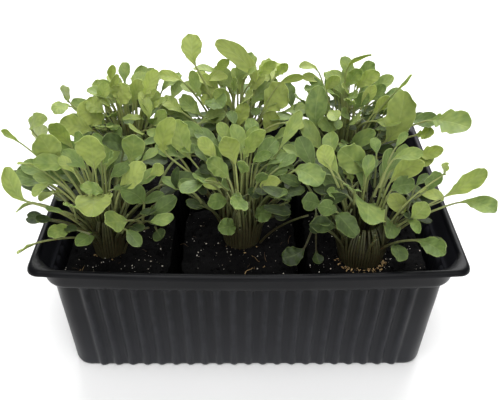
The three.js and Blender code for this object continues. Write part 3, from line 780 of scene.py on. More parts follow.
def leaf_material(look):
    """Leaf blade: midrib and side veins, a pale margin, darker with age and with painted shade, and paler
    underneath.
    """
    material, tree, shader = new_material(
        "leaf_blade", Specular_IOR_Level=0.18, Subsurface_Weight=0.5, Subsurface_Scale=0.0012
    )
    shader.inputs["Subsurface Radius"].default_value = (0.8, 0.9, 0.3)
    across, veins, between = leaf_veins(tree)
    under = mesh_value(tree, "under")
    mottled = mottle(tree, 170.0, 4.0, -0.09, 0.09)
    # Darkening by age and by painted shade, with random blotches
    aged_and_shaded = math_node(tree, "ADD", mesh_value(tree, "tint"), mottled, clamp=True)
    half_way = map_range(tree, aged_and_shaded, 0.0, 0.45, interpolation="LINEAR")
    full_way = map_range(tree, aged_and_shaded, 0.4, 1.0, interpolation="LINEAR")
    green = mix_colour(tree, half_way, rgba(look.young), rgba(look.mature))
    blade = mix_colour(tree, full_way, green, rgba(look.grown))
    deeper = mix_colour(tree, times(tree, between, 0.1), blade, rgba(look.grown))
    clear = map_range(tree, aged_and_shaded, 0.0, 1.0, 0.28, 0.09)
    veined = mix_colour(tree, times(tree, veins, clear), deeper, rgba(look.vein))
    edge = times(tree, map_range(tree, across, 0.88, 1.0, 0.0, 1.4), clear)
    margined = mix_colour(tree, edge, veined, rgba(look.vein))
    paler = times(tree, under, map_range(tree, aged_and_shaded, 0.0, 1.0, 0.45, 0.12))
    tree.links.new(mix_colour(tree, paler, margined, rgba(look.under)), shader.inputs["Base Color"])
    rough = math_node(tree, "ADD", mottle(tree, 300.0, 3.0, 0.42, 0.56), times(tree, under, 0.15))
    tree.links.new(rough, shader.inputs["Roughness"])
    quilt = math_node(tree, "SUBTRACT", between, times(tree, veins, 1.3))
    height = math_node(tree, "ADD", quilt, times(tree, fine_grain(tree, 1600.0, 0.6), 0.5))
    add_bump(tree, shader, height, 0.2, 0.0003)
    return material


def stem_material(look):
    """Stems: dark olive where they leave the soil, partly soil stain and partly painted shade, green
    further up, darkened by age and by painted shade, with a fine grain.
    """
    material, tree, shader = new_material(
        "leaf_stem", Specular_IOR_Level=0.3, Subsurface_Weight=0.1, Subsurface_Scale=0.001
    )
    top = SOIL_TOP * MM
    # Darker low down: partly soil stain, partly painted shade in the bundle
    rising = map_range(tree, object_height(tree), top + 0.008, top + 0.058)
    share = math_node(tree, "ADD", rising, mottle(tree, 420.0, 4.0, -0.12, 0.12), clamp=True)
    # Painted shade and age: stems are darkened towards the grown leaf colour
    darkened = times(tree, mesh_value(tree, "tint"), 0.7)
    green = mix_colour(tree, darkened, rgba(look.stem), rgba(look.grown))
    tree.links.new(mix_colour(tree, share, rgba(look.root), green), shader.inputs["Base Color"])
    tree.links.new(mottle(tree, 300.0, 3.0, 0.36, 0.52), shader.inputs["Roughness"])
    add_bump(tree, shader, fine_grain(tree, 2200.0, 0.2), 0.3, 0.0002)
    return material


# Tray


def rib_share(off_crest, height, pitch):
    """How fully the wall stands out at a place across a rib. The hollow beside it closes in an arch."""
    hollow = HOLLOW_HALF * pitch
    rise = min(1.0, max(0.0, (height - HOLLOW_TOP + hollow) / hollow))
    half = (HOLLOW_HALF + HOLLOW_FLANK) * math.sqrt(1 - rise * rise) - HOLLOW_FLANK
    return smooth(half - HOLLOW_FLANK, half + HOLLOW_FLANK, 0.5 - off_crest)


def tray_stations(side, straight, reach, squeeze, height, look):
    """Where one side of an outline has its points, from one corner's middle to the next: distance along
    the side, and how fully the wall stands out there."""
    count = RIBS_ON_SHORT_SIDE if side % 2 else RIBS_ON_LONG_SIDE
    pitch = look.rib_pitch / MM * squeeze
    stations = []
    for k in range(count * POINTS_PER_RIB + 1):
        turns = k / POINTS_PER_RIB
        full = rib_share(abs(turns % 1 - 0.5), height, look.rib_pitch / MM)
        stations.append(((turns - count / 2) * pitch, full))
    last = stations[-1][0]
    if last < straight:
        ends = [mix(last, straight, 0.5), straight]
        arc_from = straight
    else:
        ends = []
        arc_from = last
    steps = POINTS_ON_HALF_CORNER - len(ends)
    ends += [mix(arc_from, reach, (k + 1) / steps) for k in range(steps)]
    plain = smooth(HOLLOW_TOP - 1.6, HOLLOW_TOP, height)
    return [(-s, plain) for s in reversed(ends[:-1])] + stations + [(s, plain) for s in ends]


def tray_outline(height, inset, corner, ribs, look):
    """Points of one outline of the tray, anticlockwise from above, in metres, each with how fully the
    wall stands out there."""
    length = look.length / MM
    width = look.width / MM
    half = (length / 2 - inset, width / 2 - inset)
    half_at_top = (length / 2 - RIBS_TOP_INSET, width / 2 - RIBS_TOP_INSET)
    points = []
    for side in range(4):
        along, out = (half[1], half[0]) if side % 2 else half
        straight = along - corner
        reach = straight + corner * math.pi / 4
        squeeze = min(1.0, straight / (half_at_top[side % 2] - RIBS_TOP_CORNER))
        for s, full in tray_stations(side, straight, reach, squeeze, height, look):
            turned = max(0.0, abs(s) - straight) / corner
            radius = corner + full * ribs * look.rib_depth / MM
            u = math.copysign(min(abs(s), straight) + radius * math.sin(turned), s)
            v = out - corner + radius * math.cos(turned)
            point = Matrix.Rotation(side * math.pi / 2, 3, "Z") @ Vector((u, -v, height))
            bow = BOW_FRONT if point.y < 0 else BOW_BACK
            belly = 1 - (2 * point.x / length) ** 2
            point.y *= 1 + 2 * bow / width * belly * height * MM / look.height
            points.append((point * MM, full * ribs))
    return points


def select_by(edit, chosen):
    """In edit mode, selects the edges that pass a test, and nothing else."""
    bpy.ops.mesh.select_all(action="DESELECT")
    for edge in edit.edges:
        if chosen(edge):
            edge.select_set(True)


def place_selected(obj, points):
    """In edit mode, puts each selected vertex on its place round an outline."""
    edit = bmesh.from_edit_mesh(obj.data)
    number = edit.verts.layers.int["place"]
    # The rib share kept on each vertex is later painted as a highlight along the rib crests
    worn = edit.verts.layers.float["worn"]
    for vertex in edit.verts:
        if vertex.select:
            vertex.co, vertex[worn] = points[vertex[number] - 1]
    bmesh.update_edit_mesh(obj.data)


def model_tray(look):
    """The tray as one pressed sheet: its floor with drain holes, then outline on outline up to the lip."""
    outlines = [tray_outline(*ring, look) for ring in TRAY_OUTLINES]
    deselect()
    bpy.ops.mesh.primitive_circle_add(vertices=len(outlines[0]), radius=look.width / 2)
    tray = named("growing_tray")
    tray.data.attributes.new("worn", "FLOAT", "POINT")
    place = tray.data.attributes.new("place", "INT", "POINT")
    place.data.foreach_set("value", list(range(1, len(outlines[0]) + 1)))
    bpy.ops.object.mode_set(mode="EDIT")
    bpy.ops.mesh.select_mode(type="EDGE")
    bpy.ops.mesh.select_all(action="SELECT")
    place_selected(tray, outlines[0])
    for x, y in DRAINS:
        bpy.ops.mesh.primitive_circle_add(
            vertices=DRAIN_SIDES, radius=DRAIN_RADIUS * MM, location=(x * MM, y * MM, 0.0)
        )
    bpy.ops.mesh.select_all(action="SELECT")
    bpy.ops.mesh.fill()
    edit = bmesh.from_edit_mesh(tray.data)
    number = edit.verts.layers.int["place"]
    select_by(edit, lambda edge: edge.is_boundary and all(v[number] for v in edge.verts))
    bmesh.update_edit_mesh(tray.data)
    for outline in outlines[1:]:
        bpy.ops.mesh.extrude_edges_move()
        place_selected(tray, outline)
    close_edit()
    face_outwards(tray)
    outer = len(tray.data.vertices)
    apply_modifier(tray, "SOLIDIFY", thickness=look.sheet, offset=-1)
    tray.data.attributes.remove(tray.data.attributes["place"])
    heights = coordinates(tray.data)[:, 2] / MM
    # Wear on the lip's top edge, and a painted highlight where the ribs stand out
    lip = LIP_WORN * np.clip((heights - LIP_WORN_FROM) / LIP_WORN_RISE, 0, 1)
    fill_attribute(tray.data, "worn", np.maximum(lip, RIBS_CREST_HIGHLIGHT * read_attribute(tray.data, "worn")))
    fill_attribute(tray.data, "inside", (np.arange(len(heights)) >= outer) & (heights < DUSTY_BELOW))
    pick(tray)
    shade_smooth(40)
    return tray


def face_outwards(sheet):
    """Turns a sheet's faces over if its walls face inwards."""
    outward = sum(
        face.area * (face.normal.x * face.center.x + face.normal.y * face.center.y)
        for face in sheet.data.polygons
    )
    if outward < 0:
        sheet.data.flip_normals()


# Soil


def soil_extent(node):
    """Middle and half size of a soil block's top, in metres, from the frame's solid."""
    corners = [v.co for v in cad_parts[node].data.vertices if v.co.z > (SOIL_SHOULDER - 1) * MM]
    low = Vector((min(c.x for c in corners), min(c.y for c in corners)))
    high = Vector((max(c.x for c in corners), max(c.y for c in corners)))
    return (low + high) / 2, (high - low) / 2


def crumbs_at(x, y, seed):
    """How far the crumbly top of the soil stands up at a place, in millimetres."""
    place = Vector((x / MM, y / MM, seed * 13.0))
    lumps = noise.noise(place / 11) * 1.3
    clods = noise.noise(place / 4.5) * 0.9
    near = noise.voronoi(place / 2.6)[0]
    return lumps + clods + 0.9 * (0.55 - near[0]) + 0.35 * noise.noise(place / 1.1)


def model_soil_block(node, seed, look):
    """One block: a fine crumbly top, ragged shoulders, and a tapered body below."""
    middle, half = soil_extent(node)
    deselect()
    cells = look.cells
    bpy.ops.mesh.primitive_grid_add(x_subdivisions=cells, y_subdivisions=cells, size=2)
    block = named("soil_block_" + node.removeprefix("soil_"))
    shaped = []
    for u, v, _ in coordinates(block.data):
        edge = max(abs(u), abs(v))
        corner = 1 - 0.07 * smooth(0.7, 1.0, min(abs(u), abs(v)))
        ragged = 1 - 0.03 * edge ** 6 * (1 + noise.noise(Vector((u * 6, v * 6, seed))))
        x = middle.x + u * half.x * corner * ragged
        y = middle.y + v * half.y * corner * ragged
        height = SOIL_TOP - SOIL_MOUND * edge ** 4 + crumbs_at(x, y, seed) * (1 - 0.4 * edge ** 8)
        shaped.append((x, y, height * MM))
    put_coordinates(block.data, shaped)
    bpy.ops.object.mode_set(mode="EDIT")
    bpy.ops.mesh.select_mode(type="EDGE")
    edit = bmesh.from_edit_mesh(block.data)
    select_by(edit, lambda edge: edge.is_boundary)
    bmesh.update_edit_mesh(block.data)
    bpy.ops.mesh.select_mode(type="VERT")
    width = 1.0
    for height in SOIL_RINGS:
        narrower = mix(1, SOIL_DRAFT, max(0, SOIL_SHOULDER - height) / (SOIL_SHOULDER - SOIL_FOOT))
        bpy.ops.mesh.extrude_edges_move()
        bpy.ops.transform.resize(
            value=(narrower / width, narrower / width, 0), center_override=(0, 0, height * MM)
        )
        width = narrower
    bpy.ops.mesh.edge_face_add()
    close_edit()
    shade_smooth(55)
    return block


def model_grain(name, size, stretch, seed):
    """A small angular grain of 20 faces, roughened so that it isn't round."""
    deselect()
    bpy.ops.mesh.primitive_ico_sphere_add(subdivisions=1, radius=size * MM)
    grain = named(name)
    random = draws(seed)
    shaped = [Vector(c) * (0.75 + 0.5 * random()) for c in coordinates(grain.data)]
    put_coordinates(grain.data, [(c.x, c.y * stretch, c.z * 0.8) for c in shaped])
    return grain


def even_places(count, extent, random):
    """Places all over the top of a soil block."""
    middle, half = extent
    spots = [(random() * 2 - 1, random() * 2 - 1) for _ in range(count)]
    return [(middle.x + u * half.x * 0.93, middle.y + v * half.y * 0.93) for u, v in spots]


def clustered_places(count, extent, random):
    """Places in loose clusters, with more of them near the front."""
    middle, half = extent
    places = []
    while len(places) < count:
        u = mix(-0.9, 0.9, random())
        v = mix(-0.93, 0.9, random() ** 1.7)
        for _ in range(1 + int(random() * 5)):
            near = (max(-0.95, min(0.95, c + (random() - 0.5) * 0.36)) for c in (u, v))
            places.append(tuple(m + h * c for m, h, c in zip(middle, half, near)))
    return places[:count]


def collar_places(count, clump, random):
    """Places close round the front of a clump's foot."""
    x, y = clump["foot"]
    places = []
    for _ in range(count):
        angle = mix(-2.9, -0.3, random())
        out = clump["radius"] * 1.02 + 3.2 * random() ** 2
        places.append(((x + out * math.cos(angle)) * MM, (y + out * math.sin(angle)) * MM))
    return places


def scatter(template, places, random, surface, sizes):
    """Copies of a bit, each turned and sized at random, lying on the soil at the places given."""
    made = []
    for x, y in places:
        turn = Euler((random() * 6.3, random() * 6.3, random() * 6.3)).to_matrix().to_4x4()
        size = mix(*sizes, random() ** 2)
        copy = own_copy(template, template.name + "_copy")
        lift = Vector((x, y, surface(x, y)))
        copy.data.transform(Matrix.Translation(lift) @ turn @ Matrix.Scale(size, 4))
        made.append(copy)
    return made


def model_fibre(name):
    """A thin curved strand with three sides, lying along X."""
    deselect()
    bpy.ops.mesh.primitive_circle_add(
        vertices=3, radius=FIBRE_RADIUS, fill_type="NGON", rotation=(0, math.pi / 2, 0)
    )
    fibre = named(name)
    bpy.ops.object.transform_apply(location=False, rotation=True, scale=False)
    edit_all()
    for step in range(FIBRE_STEPS):
        move = (FIBRE_STEP, 0.0006 * math.sin(step * 1.1), 0.00015 * (2 - step))
        bpy.ops.mesh.extrude_region_move(TRANSFORM_OT_translate={"value": move})
    close_edit()
    return fibre


def model_bits(materials):
    """One of each kind of loose bit, to be copied. The first material is peat, the others are as SPECKS."""
    bits = {
        "crumb": (model_grain("crumb", 0.95, 1.2, 5), 0),
        "grain": (model_grain("grain", 0.45, 1.15, 9), 1),
        "husk": (model_grain("husk", 0.5, 2.2, 21), 3),
        "fibre": (model_fibre("fibre"), 2),
        "rootlet": (model_fibre("rootlet"), 3),
    }
    for bit, index in bits.values():
        give(bit, materials, index)
    return {name: bit for name, (bit, _) in bits.items()}


def soil_surface(seed, extent):
    """A function that gives the height of a block's crumbly top at a place, lower towards its edge."""
    middle, half = extent

    def surface(x, y):
        edge = max(abs(x - middle.x) / half.x, abs(y - middle.y) / half.y) ** 4
        return (SOIL_TOP + crumbs_at(x, y, seed) + 0.1) * MM - 0.0012 * edge

    return surface


def scatter_bits(bits, clump, extent, look):
    """The loose bits on one block, each kind between its smallest and its largest size."""
    random = draws(clump["seed"] * 19)
    surface = soil_surface(clump["seed"], extent)
    made = []

    def lay(name, places, smallest, largest):
        made.extend(scatter(bits[name], places, random, surface, (smallest, largest)))

    lay("crumb", even_places(look.crumbs, extent, random), 0.35, 1.4)
    lay("grain", clustered_places(look.grains, extent, random), 0.15, 1.2)
    lay("fibre", even_places(look.fibres, extent, random), 0.5, 1.2)
    lay("rootlet", clustered_places(look.rootlets, extent, random), 0.8, 1.5)
    lay("husk", collar_places(look.husks * clump.get("husky", 1), clump, random), 0.3, 1.4)
    return made


# Leaves


def blade_half_width(u, blade, side):
    """Half width of a blade at u, from 0 at its start to 1 at its tip, as a share of the full one."""
    if u < BLADE_WIDEST:
        half = BLADE_NECK + (1 - BLADE_NECK) * math.sin(math.pi / 2 * u / BLADE_WIDEST) ** blade["round"]
    else:
        half = 1.0
    for along, on, proud, reach in blade["lobes"]:
        if on == side:
            half += proud * math.exp(-(((u - along) / reach) ** 2))
            half -= proud * 0.6 * math.exp(-(((u - along - 1.8 * reach) / reach) ** 2))
    return half


def blade_point(u, v, blade):
    """A point of a blade from its start, u along and v across from -1 to 1, in millimetres."""
    length = blade["length"]
    half = blade["width"] / 2
    side = 1 if v > 0 else -1
    if u < BLADE_WIDEST:
        x = v * half * blade_half_width(u, blade, side)
        y = u * length
    else:
        turn = (u - BLADE_WIDEST) / (1 - BLADE_WIDEST) * math.acos(blade["blunt"])
        rim = BLADE_WIDEST + (1 - BLADE_WIDEST) * math.sin(turn)
        x = v * half * math.cos(turn) * blade_half_width(u, blade, side)
        y = length * mix(u, rim, v * v)
    y -= length * blade["notch"] * (1 - abs(v)) ** 1.5 * smooth(0.6, 1.0, u)
    height, count = blade["wave"]
    wave = height * abs(v) ** 1.6 * math.sin(2 * math.pi * count * u + (1.9 if v < 0 else 0.0))
    cup = 0.16 * half * v * v * smooth(0, 0.2, u)
    groove = 0.22 * math.exp(-((v / 0.12) ** 2)) * smooth(1.0, 0.7, u) if u < 1 else 0.0
    return x, y, wave * smooth(0, 0.25, u) + cup - groove


def model_blade(name, blade):
    """The blade of a leaf, modelled flat along +Y from its start, with its thickness."""
    across, along = blade["cells"]
    deselect()
    bpy.ops.mesh.primitive_grid_add(x_subdivisions=across, y_subdivisions=along, size=2)
    leaf = named(name)
    flat = coordinates(leaf.data)
    put_coordinates(leaf.data, [np.array(blade_point((y + 1) / 2, x, blade)) * MM for x, y, _ in flat])
    apply_modifier(leaf, "SOLIDIFY", thickness=BLADE_THICKNESS * MM, offset=-1)
    under = np.zeros(len(leaf.data.vertices))
    under[len(flat):] = 1
    fill_attribute(leaf.data, "under", under)
    return leaf


def plant_materials():
    return bpy.data.materials["leaf_blade"], bpy.data.materials["leaf_stem"]


def stalk_girth(y, rib):
    """Radius of the stalk, from its root at -STALK_LENGTH to the end of the rib, in millimetres."""
    if y <= 0:
        return mix(*STALK_RADII, 1 + y / STALK_LENGTH)
    return mix(*RIB_RADII, y / rib)


def model_stalk(name, rings, rib=0.0):
    """The stalk behind a blade, and the rib that carries on from it under the blade."""
    stops = [-STALK_LENGTH * (1 - k / rings) for k in range(rings + 1)]
    if rib:
        stops += [rib * k / RIB_RINGS for k in range(1, RIB_RINGS + 1)]
    deselect()
    bpy.ops.mesh.primitive_circle_add(
        vertices=STALK_SIDES, radius=MM, fill_type="NGON", rotation=(-math.pi / 2, 0, 0)
    )
    stalk = named(name)
    bpy.ops.object.transform_apply(location=False, rotation=True, scale=False)
    edit_all()
    bpy.ops.transform.translate(value=(0, stops[0] * MM, 0))
    for previous, stop in zip(stops, stops[1:]):
        move = (0, (stop - previous) * MM, 0)
        bpy.ops.mesh.extrude_region_move(TRANSFORM_OT_translate={"value": move})
    close_edit()
    shaped = []
    for x, y, z in coordinates(stalk.data) / MM:
        girth = stalk_girth(y, rib)
        sunk = 0.0 if y <= 0 else RIB_SUNK * smooth(0, 2, y)
        shaped.append((x * girth, y, z * girth - sunk))
    put_coordinates(stalk.data, np.array(shaped) * MM)
    fill_attribute(stalk.data, "under", 0)
    fill_attribute(stalk.data, "stalk", 1)
    give(stalk, plant_materials(), 1)
    return stalk


def model_leaf(kind):
    """A leaf with its stalk, flat, to be copied and bent. Its stalk is the second material."""
    blade = BLADES[kind]
    leaf = model_blade(kind + "_blade", blade)
    fill_attribute(leaf.data, "stalk", 0)
    give(leaf, plant_materials(), 0)
    stalk = model_stalk(kind + "_stalk", STALK_RINGS[kind], blade["length"] * RIB_ALONG_BLADE)
    whole = join([leaf, stalk], kind + "_leaf")
    shade_smooth(50)
    return whole


def model_stem():
    """The stem of a seedling below its leaves, straight, to be copied and bent."""
    stem = model_stalk("stem", STEM_RINGS)
    pick(stem)
    shade_smooth(50)
    return stem


def unit(vector):
    return vector / np.linalg.norm(vector)


def bezier(first, control, last, shares):
    t = np.asarray(shares)[:, None]
    return (1 - t) ** 2 * first + 2 * (1 - t) * t * control + t * t * last


def turned(vector, axis, angle):
    """A vector turned about a unit axis."""
    cos = math.cos(angle)
    sin = math.sin(angle)
    return vector * cos + np.cross(axis, vector) * sin + axis * np.dot(axis, vector) * (1 - cos)


def carried(side, along):
    """A side direction made square to the line again."""
    return unit(side - along * np.dot(side, along))


def stalk_line(seat, root, base):
    """The line of a stalk: up from its seat in the soil, if it has one, then bending out to the base."""
    elbow = root + (base - root) * 0.3
    elbow[2] = mix(root[2], base[2], 0.62)
    line = bezier(root, elbow, base, np.linspace(0, 1, STALK_POINTS))
    if seat is not None:
        rise = seat + (root - seat) * np.linspace(0, 1, SEAT_POINTS)[:-1, None]
        line = np.vstack((rise, line))
    return line, unit(base - elbow)


def framed(line, start, side):
    """The side and up directions along a line, carried both ways from one of its points."""
    along = np.gradient(line, axis=0)
    along /= np.linalg.norm(along, axis=1)[:, None]
    sides = np.empty_like(line)
    sides[start] = carried(side, along[start])
    for k in range(start + 1, len(line)):
        sides[k] = carried(sides[k - 1], along[k])
    for k in range(start - 1, -1, -1):
        sides[k] = carried(sides[k + 1], along[k])
    return sides, np.cross(sides, along)


def leaf_line(leaf):
    """The line of a leaf and the frame along it: station from -1 at the foot of its stalk through 0 at
    the start of its blade to 1 at the tip, place, side and up."""
    base, tip = leaf["base"], leaf["tip"]
    stalk, onward = stalk_line(leaf["seat"], leaf["root"], base)
    length = np.linalg.norm(tip - base)
    straight = (tip - base) / length
    belly = base + straight * length * 0.28 + onward * length * 0.24
    shares = np.linspace(0, 1, BLADE_POINTS)[1:]
    line = np.vstack((stalk, bezier(base, belly, tip, shares)))
    for _ in range(4):
        line[1:-1] = line[1:-1] * 0.5 + (line[:-2] + line[2:]) * 0.25
    stations = np.concatenate((np.linspace(-1, 0, len(stalk)), shares))
    facing = turned(leaf["facing"], straight, math.radians(leaf["roll"]))
    sides, ups = framed(line, len(stalk) + 4, np.cross(straight, facing))
    return stations, line, sides, ups


def bend(mesh, station, across, above, course, twist=0.0):
    """Bends a flat mesh along a line, from where each vertex is along it, to its side and above it."""
    stations, *tables = course
    at, side, up = (
        np.column_stack([np.interp(station, stations, axis) for axis in table.T]) for table in tables
    )
    angle = np.broadcast_to(twist, len(station))
    cos, sin = np.cos(angle)[:, None], np.sin(angle)[:, None]
    side, up = side * cos + up * sin, up * cos - side * sin
    put_coordinates(mesh, (at + side * across[:, None] + up * above[:, None]) * MM)


def grow_leaf(template, blade, leaf, random):
    """A copy of a modelled leaf, bent along its own line."""
    copy = own_copy(template, template.name + "_copy")
    mesh = copy.data
    x, y, z = (coordinates(mesh) / MM).T
    stalk = read_attribute(mesh, "stalk") > 0
    if random() < 0.5:
        x = -x
        mesh.flip_normals()
    station = np.where(y < 0, y / STALK_LENGTH, y / blade["length"])
    in_blade = np.clip(station, 0, 1)
    widen = leaf["width"] / blade["width"]
    curl = leaf["curl"] * (x / blade["width"] * 2) ** 2 * leaf["width"] * in_blade
    across = x * np.where(stalk, leaf["girth"], widen)
    above = np.where(stalk, z * leaf["girth"], z * (0.5 + 0.5 * widen) + curl)
    bend(mesh, station, across, above, leaf_line(leaf), leaf["twist"] * in_blade)
    fill_attribute(mesh, "tint", leaf["tint"])
    return copy


def grow_stem(template, seat, root, node, girth):
    """A copy of the modelled stem, bent from its seat in the bundle to the node of its seedling."""
    copy = own_copy(template, "stem_copy")
    x, y, z = (coordinates(copy.data) / MM).T
    line, _ = stalk_line(seat, root, node)
    course = (np.linspace(-1, 0, len(line)), line, *framed(line, 0, np.array((1.0, 0.3, 0.0))))
    bend(copy.data, y / STALK_LENGTH, x * girth, z * girth, course)
    # Seedling stems are darkened far, partly by age and partly as painted shade
    fill_attribute(copy.data, "tint", 0.9)
    return copy


def foot_of(clump):
    """Where a clump stands on the soil, in millimetres."""
    return np.array((*clump["foot"], SOIL_TOP))


def way(heading, pitch):
    """A unit direction from a heading round the upright and a pitch above the level."""
    return np.array((
        math.cos(pitch) * math.cos(heading),
        math.cos(pitch) * math.sin(heading),
        math.sin(pitch),
    ))


def faced(heading):
    """The way that a small leaf faces: up, somewhat out from its clump and somewhat to the front."""
    return unit(np.array((math.cos(heading) * 0.35, math.sin(heading) * 0.35 - 0.3, 0.85)))


def large_leaves(clump):
    """The large leaves of a clump, as rows of start, tip, width, roll, the way they face and kind."""
    kinds = {k: kind for kind in LARGE_KINDS for k in clump.get(kind, ())}
    return [
        (row[:3], row[3:6], row[6], row[7], LIGHT, kinds.get(k, "large"))
        for k, row in enumerate(clump["leaves"])
    ]


def small_leaves(clump):
    """The smaller leaves, set round the clump by the golden angle: seed leaves low, true leaves above."""
    random = draws(clump["seed"])
    away = np.array(clump["foot"]) / math.hypot(*clump["foot"])
    rows = []
    for i in range(SMALL_LEAVES):
        share = (i + 0.5) / SMALL_LEAVES
        turn = i * GOLDEN_ANGLE + (random() - 0.5) * 0.35
        kind = SEED_LEAF if share < SEED_SHARE else TRUE_LEAF
        lift = mix(0.12, 1.25, share ** 1.1)
        outward = math.cos(turn) * away[0] + math.sin(turn) * away[1]
        spread = clump["spread"] + 10 * max(0.0, outward)
        reach = kind["reach"] + 0.22 * random()
        tall = (clump["tall"] - 16) * reach
        tip = way(turn, lift) * (spread * reach, spread * reach, tall) + (0, 0, CROWN)
        rows.append(round_leaf(tip, turn, lift, share, kind, random))
    return rows


def round_leaf(tip, turn, lift, share, kind, random):
    """One leaf of the round fill, from its tip and the way that it lies from the clump's foot."""
    length = kind["length"] + kind["longer"] * random()
    pitch = mix(lift * 0.7, 1.2, share ** 2) * (0.5 + 0.6 * random())
    start = tip - way(turn + (random() - 0.5) * 0.7, pitch) * length
    width = length * (kind["width"] + (kind["wider"] * random() if kind["wider"] else 0))
    roll = (random() - 0.5) * 40
    return start, tip, width, roll, faced(turn), "seed" if kind is SEED_LEAF else "small"


def large_places():
    """The start and the tip of each large leaf's blade in millimetres, and its width."""
    found = []
    for clump in CLUMPS.values():
        foot = foot_of(clump)
        found += [(foot + row[:3], foot + row[3:6], row[6]) for row in clump["leaves"]]
    return found


def hides_large(row, clump, large):
    """Whether a small leaf would stand before a large one or its own clump's foot, seen from the front and
    above."""
    foot = foot_of(clump)
    middle = foot + (np.array(row[0]) + row[1]) / 2
    toward = unit(EYE - middle)
    bundle = (foot, foot + (0, 0, CLEAR_FOOT_HEIGHT), CLEAR_FOOT_WIDTH * clump["radius"])
    for start, tip, width in (*large, bundle):
        apart = middle - (start + tip) / 2
        ahead = np.dot(apart, toward)
        aside = np.linalg.norm(apart - toward * ahead)
        if ahead > 0 and aside < CLEAR_SHARE * (width + row[2]) / 2:
            return True
    return False


def meets_large(first, last, large):
    """Whether a stem from one place to another would pass through a large leaf."""
    path = first + (last - first) * np.linspace(0, 1, STEM_CHECKS)[:, None]
    for start, tip, width in large:
        for share in BLADE_CHECKS:
            if np.linalg.norm(path - mix(start, tip, share), axis=1).min() < MEETS_WITHIN * width:
                return True
    return False


def seedling_leaf(node, heading, pitch, stalk, length, kind, random):
    """One leaf of a seedling, from its node: its stalk rises, and its blade leans further out."""
    base = node + way(heading, pitch) * stalk
    lean = mix(0.1, 0.4, random()) if kind == "seed" else mix(0.2, 0.9, random())
    tip = base + way(heading + (random() - 0.5) * 0.6, pitch - lean) * length
    width = length * (mix(0.8, 0.95, random()) if kind == "seed" else mix(0.46, 0.66, random()))
    return base, tip, width, (random() - 0.5) * 45, faced(heading), kind


def seedling(clump, turn, share, random):
    """The node of one seedling in its clump, and the rows of its seed leaves and its true leaf."""
    x, y = clump["foot"]
    inward = -(math.cos(turn) * x + math.sin(turn) * y) / math.hypot(x, y)
    out = clump["spread"] * mix(0.6, 0.95, random()) * (1 + 0.22 * inward)
    rise = (1, 1, mix(0.22, 0.46, random()))
    node = way(turn, mix(0.5, 1.4, share)) * (out, out, clump["tall"]) * rise + (0, 0, CROWN)
    chance = random()
    headings = []
    if chance < 0.32:
        headings += [("seed", side) for side in (-1, 1)]
    if chance > 0.2:
        headings.append(("small", 0))
    rows = []
    for kind, side in headings:
        pitches, stalks, lengths = SEEDLING_LEAVES[kind]
        aside = side * mix(0.9, 1.8, random()) if side else (random() - 0.5) * 2.2
        pitch, stalk, length = (mix(*span, random()) for span in (pitches, stalks, lengths))
        rows.append(seedling_leaf(node, turn + aside, pitch, stalk, length, kind, random))
    return node, rows


def seat_leaf(clump, row, random, node=None):
    """A leaf in its clump: the place of its stem in the bundle or its node, and how it differs."""
    start, end, width, roll, facing, kind = row
    if kind in LARGE_KINDS:
        width = width * LARGE_WIDER
    foot = foot_of(clump)
    start = np.array(start, dtype=float)
    if node is None:
        slope = math.hypot(*start[:2]) / max(1.0, start[2])
        angle = math.atan2(start[1], start[0]) + (random() - 0.5) * 0.5
        seat, root = stem_seat(clump, angle, min(0.88, 0.25 + 0.75 * slope), start[2])
    else:
        seat, root = None, foot + node
    seed_leaf = kind == "seed"
    return {
        "seat": seat,
        "root": root,
        "base": foot + start,
        "tip": foot + np.array(end, dtype=float),
        "width": width,
        "roll": roll,
        "facing": facing,
        "girth": (0.85 + 0.3 * random()) * (0.8 if width < 9 else 1.05),
        "twist": (random() - 0.5) * (0.15 if seed_leaf else 0.7),
        "curl": (random() - 0.45) * (0.05 if seed_leaf else 0.14),
        "tint": leaf_age_and_shade(clump, kind, end, random()),
        "kind": kind,
    }


def stem_seat(clump, angle, share, reach):
    """Where a stem stands in its clump's bundle and where it leaves it. share is how far out it stands."""
    foot = foot_of(clump)
    out = np.array((math.cos(angle), math.sin(angle), 0)) * clump["radius"] * share
    height = min(13 + 8 * (1 - share), max(2.0, reach - 7))
    return foot + out * STEM_FOOT - (0, 0, STEM_DEPTH), foot + out * STEM_FLARE + (0, 0, height)


def leaf_age_and_shade(clump, kind, tip, chance):
    """How far a leaf is darkened, partly by age and partly as painted shade. Of the small ones, the darkest
    are low in the clump and inside it, where shade falls.
    """
    if kind in LARGE_KINDS:
        return 0.2 * chance
    reach = math.hypot(tip[0] / clump["spread"], tip[1] / clump["spread"], tip[2] / clump["tall"])
    # The back clumps' small leaves are darkened less: painted light on the back rows
    tint = (0.48 if kind == "seed" else 0.38) - clump.get("less_aged_and_shaded", 0)
    # Painted shade: small leaves low in the clump and near its middle are darkened further
    tint += 0.7 * smooth(76, 20, tip[2]) + 0.4 * smooth(0.98, 0.5, reach)
    return min(1.0, tint + 0.35 * (chance - 0.35))


def choose_blade(leaf, random):
    """Which modelled blade a leaf is copied from."""
    chance = random()
    if leaf["kind"] in ("seed", "lobed", "broad", "wavy"):
        return leaf["kind"]
    if leaf["kind"] == "small":
        return "small" if chance < 0.75 else "wavy"
    if leaf["width"] < 8.5:
        return "small"
    return "plain" if chance < 0.55 else "wavy"


